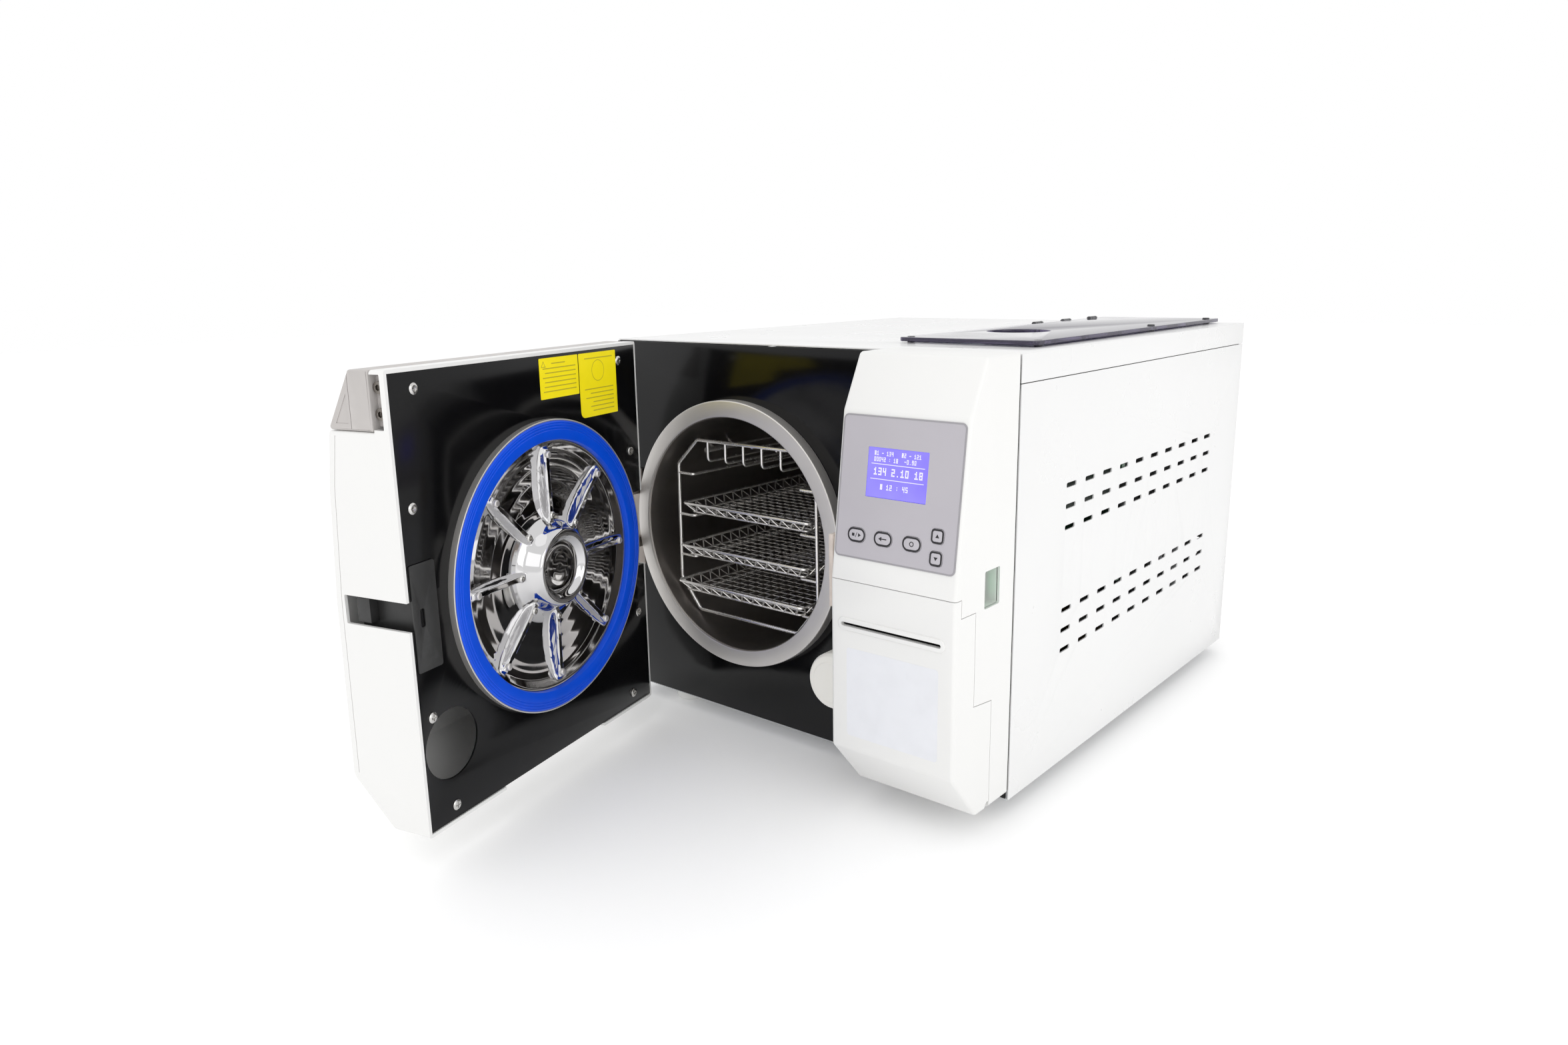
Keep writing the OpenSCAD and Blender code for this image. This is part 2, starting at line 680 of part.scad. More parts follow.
module along_ribs() {
  translate([0, 0, -4.5]) linear_extrude(9)
    polygon([[49, -5.4], [43.6, -0.4], [42.2, 3], [47, 3.25], [56, 3.25], [110, 2.4], [115, -0.6],
      [112, -4.2], [99, -7.2], [80, -8.4], [62, -7.9]]);
}

module door_seal() color("mediumblue") swing() turn_y(chamber_x, chamber_z) translate([0, -22]) polygon([
  [seal_r, 1.3], [seal_r, 6.6], [seal_r - 1, 7.5], [122.4, 7.5], [121, 6], [121, 1.3]]);

module door_handle() color("silver") swing() {
  along_x(-233, 115.5) polygon([[-38.2, 360.4], [-86.6, 360.4], [-59, 409], [-38.2, 409]]);
  // plate that takes the two bolts
  box([104, -38.2, 364], [107, -27, 404]);
}

module handle_bolts() color("dimgray") swing() {
  for (z = [395, 374])
    translate([107, -32.6, z]) rotate([0, 90, 0]) difference() {
      cylinder(r = 5, h = 4.5, $fn = 40);
      translate([0, 0, 2]) cylinder(r = 2.6, h = 4, $fn = 6);
    }
}

module screw_head(r, h) {
  rotate([-90, 0, 0]) difference() {
    rotate_extrude($fn = 32) polygon([[0, 0], [r, 0], [r, h * 0.45], [r * 0.7, h], [0, h]]);
    for (a = [0, 90])
      rotate([0, 0, a]) translate([-r * 0.55, -0.5, h * 0.5]) cube([r * 1.1, 1, h]);
  }
}

module door_screws() color("silver") swing() {
  for (p = [[85.4, 392], [98.4, 297], [98.4, 117], [80.4, 28.5], [-199.6, 391.5], [-214.3, 295.5],
      [-214.1, 117], [-197.2, 29.2]])
    translate([p[0], -22, p[1]]) screw_head(4.8, 1.8);
  for (a = [0:45:315])
    translate([chamber_x + 50 * cos(a), -18.65, chamber_z + 50 * sin(a)]) screw_head(3.6, 2);
}

module caution_labels() color("yellow") swing() {
  along_y(-22, -21.6) translate([-102.1, 384]) round_rect(59, 38, 1);
  along_y(-22, -21.6) translate([-163.4, 371.5]) round_rect(61, 63, 1);
}

module latch_guide() color("black") swing() difference() {
  union() {
    box([72, -84, 188], [103.6, -24, 231]);
    along_y(-22, -20.8) translate([95.4, 205.5]) difference() {
      round_rect(28, 92, 2);
      translate([4, 0]) round_rect(5, 16, 2);
    }
  }
  box([60, -80.4, 198.6], [110, -65.6, 220.4]);
  box([66, -60, 194], [98, -30, 225]);
}

module latch_bolt() color("black") swing() difference() {
  box([66, -80.1, 199], [112, -65.9, 220]);
  for (x = [88, 103])
    translate([x, -73, 190]) cylinder(r = 3.4, h = 40, $fn = 32);
  box([74, -90, 205], [108, -69, 214]);
}

base_tray();
feet();
left_side_panel();
right_side_panel();
top_cover();
rear_panel();
front_panel();
control_housing();
keypad_overlay();
lcd_module();
switch_frame();
printer_module();
latch_receiver();
hinge_bracket();
hinge_pin();
chamber_vessel();
chamber_ring();
chamber_probe();
heater_jacket();
chamber_cradles();
filter_cap();
clean_water_tank();
used_water_tank();
control_board();
power_supply();
vacuum_pump();
water_pump();
steam_generator();
solenoid_valves();
condenser();
fan_frame();
mains_inlet();
drain_ports();
safety_valve();
lid_hinges();
door_cover();
door_panel();
door_plate();
door_seal();
door_arm();
door_handle();
handle_bolts();
door_screws();
caution_labels();
latch_guide();
latch_bolt();
tray_rack();
top_tray();
middle_tray();
bottom_tray();
start_key();
back_key();
ok_key();
up_key();
down_key();
power_rocker();
front_cover();
paper_roll();
tank_lid();
fan_rotor();
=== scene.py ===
"""Benchtop steam autoclave: the visual model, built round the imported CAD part.

Shapes are written in millimetres in the part's own layout: x across, y from the front panel backwards,
z up from the cabinet's underside. Pieces of the door are written with the door shut, then swung open.
"""
import json
import math
import random

import bmesh
import bpy
from mathutils import Matrix, Vector

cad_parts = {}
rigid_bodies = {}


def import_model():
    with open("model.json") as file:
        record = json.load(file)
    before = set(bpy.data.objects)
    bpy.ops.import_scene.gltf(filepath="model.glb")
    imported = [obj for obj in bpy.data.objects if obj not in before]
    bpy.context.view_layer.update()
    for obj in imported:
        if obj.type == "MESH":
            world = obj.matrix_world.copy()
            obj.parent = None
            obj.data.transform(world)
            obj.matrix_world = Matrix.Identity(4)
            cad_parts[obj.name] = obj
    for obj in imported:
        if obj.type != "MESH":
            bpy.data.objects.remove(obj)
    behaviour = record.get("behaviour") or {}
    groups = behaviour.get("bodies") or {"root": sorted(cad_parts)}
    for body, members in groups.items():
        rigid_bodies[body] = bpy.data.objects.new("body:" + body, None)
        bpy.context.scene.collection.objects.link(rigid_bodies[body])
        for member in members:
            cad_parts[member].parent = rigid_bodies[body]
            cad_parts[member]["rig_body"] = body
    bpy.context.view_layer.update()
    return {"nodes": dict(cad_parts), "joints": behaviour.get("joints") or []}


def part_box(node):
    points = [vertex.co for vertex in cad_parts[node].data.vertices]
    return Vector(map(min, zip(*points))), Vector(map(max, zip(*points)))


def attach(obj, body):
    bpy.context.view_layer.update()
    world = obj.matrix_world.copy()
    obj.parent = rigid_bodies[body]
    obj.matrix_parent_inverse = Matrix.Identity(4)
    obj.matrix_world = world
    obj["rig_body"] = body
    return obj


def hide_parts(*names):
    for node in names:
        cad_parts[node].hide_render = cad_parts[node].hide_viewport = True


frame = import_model()
NODES = frame["nodes"]
MM = 0.001

# ---- places

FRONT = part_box("front_panel")[0].y
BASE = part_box("base_tray")[0].z
CABINET = Matrix.Translation((0, FRONT, BASE))
HINGE = next(j for j in frame["joints"] if j["name"] == "door_hinge")
PIN = Vector((HINGE["pos_m"][0], HINGE["pos_m"][1], 0))
SHUT = math.radians(HINGE["range_deg"][0])
DOOR = Matrix.Translation(PIN) @ Matrix.Rotation(SHUT, 4, "Z") @ Matrix.Translation(-PIN) @ CABINET
SLOPE = math.atan(19 / 147)


def mm_of(node):
    """A node's box in the part's layout."""
    lo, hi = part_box(node)
    back = CABINET.inverted()
    return (back @ lo) / MM, (back @ hi) / MM


ring_lo, ring_hi = mm_of("chamber_ring")
CX, CZ = (ring_lo.x + ring_hi.x) / 2, (ring_lo.z + ring_hi.z) / 2

ACROSS_X = Matrix(((0, 0, 1, 0), (1, 0, 0, 0), (0, 1, 0, 0), (0, 0, 0, 1)))  # outline in y, z
ACROSS_Y = Matrix(((1, 0, 0, 0), (0, 0, -1, 0), (0, 1, 0, 0), (0, 0, 0, 1)))  # outline in x, z, facing front
FACING_BACK = Matrix(((-1, 0, 0, 0), (0, 0, 1, 0), (0, 1, 0, 0), (0, 0, 0, 1)))


def at(x, y, z):
    return Matrix.Translation((x, y, z))


def slope_at(x, z):
    """On the housing's sloping face: u across, v up the slope, w out of it."""
    s, c = math.sin(SLOPE), math.cos(SLOPE)
    turn = Matrix(((1, 0, 0, 0), (0, s, -c, 0), (0, c, s, 0), (0, 0, 0, 1)))
    return at(x, -96 + (z - 214) * 19 / 147, z) @ turn


# ---- mesh tools

def fillet(points, radius, closed=True, steps=5):
    """A polyline with rounded corners; radius is one number or one for each corner."""
    pts = [Vector(p) for p in points]
    n, out = len(pts), []
    for i, p in enumerate(pts):
        r = radius[i] if isinstance(radius, (list, tuple)) else radius
        if r <= 0 or (not closed and i in (0, n - 1)):
            out.append(p)
            continue
        u, v = pts[i - 1] - p, pts[(i + 1) % n] - p
        lu, lv = u.length, v.length
        u.normalize()
        v.normalize()
        bend = u.angle(v)
        if bend > 3.0:
            out.append(p)
            continue
        reach = min(r / math.tan(bend / 2), lu * 0.48, lv * 0.48)
        true_r = reach * math.tan(bend / 2)
        middle = p + (u + v).normalized() * (true_r / math.sin(bend / 2))
        a, b = p + u * reach - middle, p + v * reach - middle
        w = a.angle(b)
        for k in range(steps + 1):
            f = k / steps
            out.append(middle + (a * math.sin((1 - f) * w) + b * math.sin(f * w)) / math.sin(w))
    return out


def uv(points):
    return [(p[0], p[1]) for p in points]


def circle(x, y, r, n=48):
    return [(x + r * math.cos(2 * math.pi * i / n), y + r * math.sin(2 * math.pi * i / n)) for i in range(n)]


def rect(x0, y0, x1, y1, r=0.0, steps=4):
    pts = [(x0, y0), (x1, y0), (x1, y1), (x0, y1)]
    return fillet([Vector((*p, 0)) for p in pts], r, True, steps) if r > 0 else pts


def inset(loop, depth):
    """A closed outline moved inwards by depth, with mitred corners."""
    sign = 1 if area(loop) > 0 else -1
    pts, out = [Vector((p[0], p[1])) for p in loop], []
    for i, p in enumerate(pts):
        u, v = (p - pts[i - 1]).normalized(), (pts[(i + 1) % len(pts)] - p).normalized()
        a, b = Vector((-u.y, u.x)) * sign, Vector((-v.y, v.x)) * sign
        q = p + (a + b) * (depth / (1 + a.dot(b)))
        out.append((q.x, q.y, 0))
    return out


def area(loop):
    return sum(loop[i - 1][0] * loop[i][1] - loop[i][0] * loop[i - 1][1] for i in range(len(loop))) / 2


class Soup:
    """Vertices and faces gathered into one mesh, in millimetres."""

    def __init__(self):
        self.v, self.f, self.m = [], [], []

    def add(self, verts, faces, m=0, matrix=None):
        base = len(self.v)
        self.v += [matrix @ Vector(v) for v in verts] if matrix else [Vector(v) for v in verts]
        self.f += [[base + i for i in f] for f in faces]
        self.m += [m] * len(faces)
        return self

    def tube(self, points, r, sides=8, closed=False, m=0, matrix=None):
        """A round wire along a polyline."""
        pts = [Vector(p) for p in points]
        n = len(pts)
        verts, faces = [], []
        tangent = (pts[1] - pts[0]).normalized()
        side = tangent.orthogonal().normalized()
        for i, p in enumerate(pts):
            if closed:
                t = (pts[(i + 1) % n] - pts[i - 1]).normalized()
            else:
                t = (pts[min(i + 1, n - 1)] - pts[max(i - 1, 0)]).normalized()
            side = (side - t * side.dot(t)).normalized()
            up = t.cross(side)
            for k in range(sides):
                a = 2 * math.pi * k / sides
                verts.append(p + side * (r * math.cos(a)) + up * (r * math.sin(a)))
        rings = n if closed else n - 1
        if closed:  # turn the last ring on so that it meets the first
            twist = min(range(sides), key=lambda s: (verts[s] - verts[(n - 1) * sides]).length)
        else:
            twist = 0
        for i in range(rings):
            j = (i + 1) % n
            shift = twist if closed and j == 0 else 0
            for k in range(sides):
                a, b = i * sides + k, i * sides + (k + 1) % sides
                c, d = j * sides + (k + 1 + shift) % sides, j * sides + (k + shift) % sides
                faces.append([a, b, c, d])
        if not closed:
            faces.append(list(range(sides))[::-1])
            faces.append([(n - 1) * sides + k for k in range(sides)])
        return self.add(verts, faces, m, matrix)

    def lathe(self, profile, n=96, m=0, matrix=None, whole=True):
        """A closed outline of radius and height turned about the w axis."""
        verts, faces, rows = [], [], []
        for r, h in profile:
            if r < 1e-6:
                rows.append([len(verts)] * n)
                verts.append((0, 0, h))
            else:
                rows.append(list(range(len(verts), len(verts) + n)))
                verts += [(x, y, h) for x, y in circle(0, 0, r, n)]
        for i in range(len(rows) if whole else len(rows) - 1):
            a, b = rows[i], rows[(i + 1) % len(rows)]
            for k in range(n):
                q = [a[k], a[(k + 1) % n], b[(k + 1) % n], b[k]]
                face = [x for j, x in enumerate(q) if x not in q[:j]]
                if len(face) > 2:
                    faces.append(face)
        return self.add(verts, faces, m, matrix)

    def slab(self, a, b, m=0, matrix=None):
        x0, y0, z0 = a
        x1, y1, z1 = b
        verts = [(x0, y0, z0), (x1, y0, z0), (x1, y1, z0), (x0, y1, z0),
                 (x0, y0, z1), (x1, y0, z1), (x1, y1, z1), (x0, y1, z1)]
        faces = [(3, 2, 1, 0), (4, 5, 6, 7), (0, 1, 5, 4), (1, 2, 6, 5), (2, 3, 7, 6), (3, 0, 4, 7)]
        return self.add(verts, faces, m, matrix)

    def prism(self, loop, w0, w1, m=0, matrix=None):
        """A convex outline in u, v between heights w0 and w1."""
        n = len(loop)
        verts = [(p[0], p[1], w0) for p in loop] + [(p[0], p[1], w1) for p in loop]
        faces = [list(range(n))[::-1], list(range(n, 2 * n))]
        faces += [[i, (i + 1) % n, n + (i + 1) % n, n + i] for i in range(n)]
        return self.add(verts, faces, m, matrix)

    def mesh(self, mesh, m=0, matrix=None):
        return self.add([v.co for v in mesh.vertices], [list(p.vertices) for p in mesh.polygons], m, matrix)


def linked(name, data):
    """A new object in the scene that shows the data."""
    obj = bpy.data.objects.new(name, data)
    bpy.context.scene.collection.objects.link(obj)
    return obj


def face_outwards(mesh, merge=0.0):
    """Turns a mesh's faces outwards, after joining vertices that lie within merge of each other."""
    bm = bmesh.new()
    bm.from_mesh(mesh)
    if merge > 0:
        bmesh.ops.remove_doubles(bm, verts=bm.verts, dist=merge)
    bmesh.ops.recalc_face_normals(bm, faces=bm.faces)
    bm.to_mesh(mesh)
    bm.free()


def flat(loops, w0, w1, bevel=0.0, steps=3, grow=0.0, matrix=None):
    """A mesh of outlines in u, v (holes inside the first) between heights w0 and w1, with rounded rims."""
    data = bpy.data.curves.new("outline", "CURVE")
    data.dimensions, data.fill_mode = "2D", "BOTH"
    data.extrude, data.bevel_depth = (w1 - w0) / 2 - bevel, bevel
    data.offset, data.bevel_resolution = grow - bevel, steps - 1
    for i, loop in enumerate(loops):
        loop = list(loop)
        if (area(loop) < 0) == (i == 0):
            loop = loop[::-1]
        spline = data.splines.new("POLY")
        spline.points.add(len(loop) - 1)
        for point, q in zip(spline.points, loop):
            point.co = (q[0], q[1], 0, 1)
        spline.use_cyclic_u = True
    obj = linked("outline", data)
    bpy.context.view_layer.update()
    mesh = bpy.data.meshes.new_from_object(obj.evaluated_get(bpy.context.evaluated_depsgraph_get()))
    bpy.data.objects.remove(obj)
    bpy.data.curves.remove(data)
    face_outwards(mesh, 1e-4)
    mesh.transform(at(0, 0, (w0 + w1) / 2))
    if matrix:
        mesh.transform(matrix)
    return mesh


def combine(mesh, others, how="DIFFERENCE"):
    """Cuts the other meshes from a mesh, joins them to it, or keeps what they share."""
    obj = linked("whole", mesh)
    tools = [linked("tool", o) for o in others]
    for tool in tools:
        step = obj.modifiers.new("step", "BOOLEAN")
        step.operation, step.object, step.solver = how, tool, "EXACT"
    bpy.context.view_layer.update()
    made = bpy.data.meshes.new_from_object(obj.evaluated_get(bpy.context.evaluated_depsgraph_get()))
    for o in [obj, *tools]:
        bpy.data.objects.remove(o)
    return made


def slab_mesh(a, b):
    return soup_mesh(Soup().slab(a, b))


def soup_mesh(soup):
    mesh = bpy.data.meshes.new("soup")
    mesh.from_pydata([tuple(v) for v in soup.v], [], soup.f)
    mesh.update()
    face_outwards(mesh)
    return mesh


def piece(name, shape, looks, body, place=CABINET, stands_for=(), crease=35, recalc=True):
    """Makes the piece from a Soup or a mesh in millimetres, stored in place in the row frame."""
    if isinstance(shape, Soup):
        mesh = bpy.data.meshes.new(name)
        mesh.from_pydata([tuple(v) for v in shape.v], [], shape.f)
        mesh.polygons.foreach_set("material_index", shape.m)
    else:
        mesh = shape
        mesh.name = name
        mesh.materials.clear()
    mesh.transform(place @ Matrix.Scale(MM, 4))
    if recalc:
        face_outwards(mesh)
    mesh.polygons.foreach_set("use_smooth", [True] * len(mesh.polygons))
    mesh.set_sharp_from_angle(angle=math.radians(crease))
    mesh.validate()
    mesh.update()
    obj = linked(name, mesh)
    for look in looks if isinstance(looks, (list, tuple)) else [looks]:
        mesh.materials.append(look)
    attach(obj, body)
    if stands_for:
        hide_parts(*([stands_for] if isinstance(stands_for, str) else stands_for))
    return obj


def refine(node, look, width):
    """The CAD node's own shape with its sharp edges rounded by width, as a piece of its own."""
    source = NODES[node]
    bm = bmesh.new()
    bm.from_mesh(source.data)
    bmesh.ops.remove_doubles(bm, verts=bm.verts, dist=2e-6)
    bmesh.ops.dissolve_limit(bm, angle_limit=math.radians(0.4), verts=bm.verts, edges=bm.edges)
    sharp = [e for e in bm.edges if len(e.link_faces) == 2 and e.calc_face_angle(0) > math.radians(40)]
    if width > 0:
        bmesh.ops.bevel(bm, geom=sharp, offset=width * MM, offset_type="OFFSET", segments=2,
                        profile=0.6, affect="EDGES", clamp_overlap=True)
    mesh = bpy.data.meshes.new(node)
    bm.to_mesh(mesh)
    bm.free()
    mesh.transform(Matrix.Scale(1 / MM, 4) @ CABINET.inverted())
    piece(node + "_body", mesh, look, source["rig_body"], stands_for=node, recalc=False)


# ---- materials

class Look:
    """Builds one procedural material on a Principled shader."""

    def __init__(self, name, base, rough, metallic=0.0, **fixed):
        self.mat = bpy.data.materials.new(name)
        self.mat.use_nodes = True
        self.nodes, self.links = self.mat.node_tree.nodes, self.mat.node_tree.links
        self.shader = self.nodes["Principled BSDF"]
        self.base, self.rough = base, rough
        self.shader.inputs["Base Color"].default_value = (*base, 1)
        self.shader.inputs["Roughness"].default_value = rough
        self.shader.inputs["Metallic"].default_value = metallic
        for key, value in fixed.items():
            self.shader.inputs[key.replace("_", " ")].default_value = value
        self.where = self.nodes.new("ShaderNodeTexCoord").outputs["Object"]
        self.colour = None
        self.gloss = None
        self.normal = None

    def noise(self, scale, detail=4.0, stretch=None, where=None):
        vector = where or self.where
        if stretch:
            mapping = self.nodes.new("ShaderNodeMapping")
            mapping.inputs["Scale"].default_value = stretch
            self.links.new(vector, mapping.inputs["Vector"])
            vector = mapping.outputs["Vector"]
        node = self.nodes.new("ShaderNodeTexNoise")
        node.inputs["Scale"].default_value = scale
        node.inputs["Detail"].default_value = detail
        node.inputs["Roughness"].default_value = 0.55
        self.links.new(vector, node.inputs["Vector"])
        return node.outputs["Fac"]

    def ramp(self, value, low, high, out_low, out_high):
        node = self.nodes.new("ShaderNodeMapRange")
        for key, number in zip(("From Min", "From Max", "To Min", "To Max"), (low, high, out_low, out_high)):
            node.inputs[key].default_value = number
        self.links.new(value, node.inputs["Value"])
        return node.outputs["Result"]

    def math(self, how, a, b=None):
        node = self.nodes.new("ShaderNodeMath")
        node.operation = how
        for i, value in enumerate([a, b]):
            if value is None:
                continue
            if isinstance(value, (int, float)):
                node.inputs[i].default_value = value
            else:
                self.links.new(value, node.inputs[i])
        return node.outputs[0]

    def tint(self, factor, colour):
        """Mixes a colour over the base where factor is 1."""
        node = self.nodes.new("ShaderNodeMix")
        node.data_type = "RGBA"
        self.links.new(factor, node.inputs["Factor"])
        if self.colour is None:
            node.inputs[6].default_value = (*self.base, 1)
        else:
            self.links.new(self.colour, node.inputs[6])
        node.inputs[7].default_value = (*colour, 1)
        self.colour = node.outputs[2]
        return self

    def vary(self, scale, low, high, colour):
        """Broad, soft differences of colour."""
        return self.tint(self.ramp(self.noise(scale, 3), low, high, 0, 1), colour)

    def smear(self, scale, spread, stretch=None):
        """Roughness that differs by up to spread about the base value."""
        self.gloss = self.ramp(self.noise(scale, 4, stretch), 0.3, 0.7,
                               max(0.02, self.rough - spread), min(1, self.rough + spread))
        return self

    def bump(self, scale, depth_mm, stretch=None, value=None):
        node = self.nodes.new("ShaderNodeBump")
        node.inputs["Distance"].default_value = depth_mm * MM
        node.inputs["Strength"].default_value = 1.0
        height = value if value is not None else self.noise(scale, 3, stretch)
        self.links.new(height, node.inputs["Height"])
        if self.normal is not None:
            self.links.new(self.normal, node.inputs["Normal"])
        self.normal = node.outputs["Normal"]
        return self

    def worn(self, colour, amount=0.5):
        """Edges rubbed lighter or darker."""
        geometry = self.nodes.new("ShaderNodeNewGeometry").outputs["Pointiness"]
        edge = self.ramp(geometry, 0.52, 0.60, 0, amount)
        return self.tint(self.math("MULTIPLY", edge, self.ramp(self.noise(90, 4), 0.4, 0.6, 0.2, 1)), colour)

    def done(self):
        if self.colour is not None:
            self.links.new(self.colour, self.shader.inputs["Base Color"])
        if self.gloss is not None:
            self.links.new(self.gloss, self.shader.inputs["Roughness"])
        if self.normal is not None:
            self.links.new(self.normal, self.shader.inputs["Normal"])
        return self.mat


def sheet_white():
    look = Look("white_sheet", (0.80, 0.80, 0.797), 0.30, Coat_Weight=0.2, Coat_Roughness=0.12)
    look.vary(3.0, 0.35, 0.75, (0.775, 0.775, 0.772))
    return look.smear(14, 0.05).bump(1500, 0.0008).bump(240, 0.0008).done()


def plastic_white(name, base=(0.81, 0.808, 0.795)):
    look = Look(name, base, 0.32, Coat_Weight=0.12, Coat_Roughness=0.25)
    look.vary(5.0, 0.35, 0.8, tuple(c * 0.975 for c in base))
    return look.smear(30, 0.04).bump(900, 0.0015).bump(60, 0.003).done()


def gloss_black():
    look = Look("black_panel", (0.0025, 0.0025, 0.003), 0.15, Specular_IOR_Level=0.26)
    look.vary(2.5, 0.45, 0.8, (0.0045, 0.0045, 0.005))
    dust = look.ramp(look.noise(1400, 2), 0.72, 0.80, 0, 0.25)
    look.tint(dust, (0.05, 0.05, 0.05))
    return look.smear(9, 0.04).bump(1300, 0.003).done()


def steel(name, base, rough, spread=0.06, grain=None, depth=0.003, tarnish=None, scale=60.0, metallic=1.0):
    look = Look(name, base, rough, metallic)
    look.vary(9, 0.4, 0.8, tuple(c * 0.90 for c in base))
    if tarnish:
        look.tint(look.ramp(look.noise(22, 5), 0.56, 0.74, 0, 0.55), tarnish)
    look.smear(scale, spread, grain)
    if depth:
        look.bump(scale * 3, depth, grain)
    return look.done()


def turned_steel(name, base, rough):
    """Steel brushed round the chamber's axis."""
    look = Look(name, base, rough, 0.82)
    split = look.nodes.new("ShaderNodeSeparateXYZ")
    look.links.new(look.where, split.inputs[0])
    centre = CABINET @ Vector((CX * MM, 0, CZ * MM))
    dx = look.math("SUBTRACT", split.outputs["X"], centre.x)
    dz = look.math("SUBTRACT", split.outputs["Z"], centre.z)
    radius = look.math("SQRT", look.math("ADD", look.math("MULTIPLY", dx, dx), look.math("MULTIPLY", dz, dz)))
    angle = look.math("ARCTAN2", dx, dz)
    join = look.nodes.new("ShaderNodeCombineXYZ")
    look.links.new(look.math("MULTIPLY", radius, 2600.0), join.inputs["X"])
    look.links.new(look.math("MULTIPLY", angle, 2.2), join.inputs["Y"])
    look.links.new(look.math("MULTIPLY", split.outputs["Y"], 900.0), join.inputs["Z"])
    rings = look.noise(1.0, 3, where=join.outputs[0])
    look.vary(12, 0.35, 0.75, tuple(c * 0.92 for c in base))
    look.tint(look.ramp(rings, 0.35, 0.75, 0, 0.10), tuple(c * 0.6 for c in base))
    look.gloss = look.ramp(rings, 0.3, 0.7, rough - 0.04, rough + 0.05)
    return look.bump(1, 0.0015, value=rings).done()


def rubber(name, base, rough):
    look = Look(name, base, rough, Specular_IOR_Level=0.30)
    look.vary(30, 0.4, 0.75, tuple(c * 0.9 for c in base))
    return look.smear(80, 0.05).bump(1600, 0.003).done()


def moulded(name, base, rough, grain=0.010, scale=1800, dust=None):
    look = Look(name, base, rough)
    look.vary(18, 0.4, 0.75, tuple(c * 0.9 for c in base))
    if dust:
        look.tint(look.ramp(look.noise(40, 5), 0.58, 0.75, 0, 0.5), dust)
    look.smear(60, 0.07).bump(scale, grain)
    return look.worn(tuple(min(1, c * 1.25 + 0.02) for c in base), 0.5).done()


def film(name, base):
    """Printed, finely textured membrane film."""
    look = Look(name, base, 0.38, Coat_Weight=0.1, Coat_Roughness=0.3)
    look.vary(14, 0.4, 0.7, tuple(c * 0.97 for c in base))
    return look.smear(200, 0.05).bump(3200, 0.004).done()


def lit(name, base, glow, strength, rough=0.25):
    look = Look(name, base, rough)
    look.shader.inputs["Emission Color"].default_value = (*glow, 1)
    look.shader.inputs["Emission Strength"].default_value = strength
    look.vary(40, 0.4, 0.7, tuple(c * 0.92 for c in base))
    return look.smear(90, 0.05).bump(700, 0.003).done()


def display_blue():
    """Back-lit display glass with its grid of dots."""
    look = Look("lcd_blue", (0.10, 0.08, 0.50), 0.16, Coat_Weight=0.5, Coat_Roughness=0.05)
    look.shader.inputs["Emission Color"].default_value = (0.17, 0.13, 0.95, 1)
    look.shader.inputs["Emission Strength"].default_value = 0.95
    split = look.nodes.new("ShaderNodeSeparateXYZ")
    look.links.new(look.where, split.inputs[0])
    dots = []
    for axis in ("X", "Z"):
        wave = look.math("FRACT", look.math("MULTIPLY", split.outputs[axis], 2100.0))
        dots.append(look.ramp(look.math("ABSOLUTE", look.math("SUBTRACT", wave, 0.5)), 0.40, 0.5, 0, 1))
    grid = look.math("MAXIMUM", dots[0], dots[1])
    look.tint(look.math("MULTIPLY", grid, 0.5), (0.05, 0.04, 0.30))
    glow = look.nodes.new("ShaderNodeMix")
    glow.data_type = "RGBA"
    look.links.new(look.ramp(look.noise(28, 2), 0.35, 0.7, 0, 1), glow.inputs["Factor"])
    glow.inputs[6].default_value = (0.16, 0.12, 0.92, 1)
    glow.inputs[7].default_value = (0.22, 0.19, 1.0, 1)
    look.links.new(glow.outputs[2], look.shader.inputs["Emission Color"])
    return look.smear(60, 0.04).done()


def acrylic():
    look = Look("smoked_acrylic", (0.16, 0.135, 0.24), 0.05, Transmission_Weight=0.75, IOR=1.49)
    look.vary(6, 0.4, 0.7, (0.14, 0.118, 0.21))
    look.tint(look.ramp(look.noise(900, 2, (1, 0.06, 1)), 0.70, 0.78, 0, 0.25), (0.6, 0.6, 0.65))
    return look.smear(20, 0.03).bump(90, 0.004).done()


def printed(name, base, rough=0.45):
    look = Look(name, base, rough)
    look.vary(50, 0.4, 0.7, tuple(c * 0.97 for c in base))
    return look.smear(150, 0.05).bump(2500, 0.001).done()


def cloth(name, base):
    look = Look(name, base, 0.9)
    for stretch in ((1, 0.05, 1), (0.05, 1, 0.05)):
        look.bump(1400, 0.06, stretch)
    look.vary(35, 0.35, 0.7, tuple(c * 0.8 for c in base))
    return look.smear(90, 0.05).done()


def board_green():
    look = Look("circuit_green", (0.006, 0.040, 0.016), 0.32, Coat_Weight=0.1)
    look.tint(look.ramp(look.noise(180, 2, (1, 1, 0.2)), 0.52, 0.54, 0, 0.5), (0.010, 0.065, 0.026))
    return look.smear(60, 0.05).bump(300, 0.01).done()


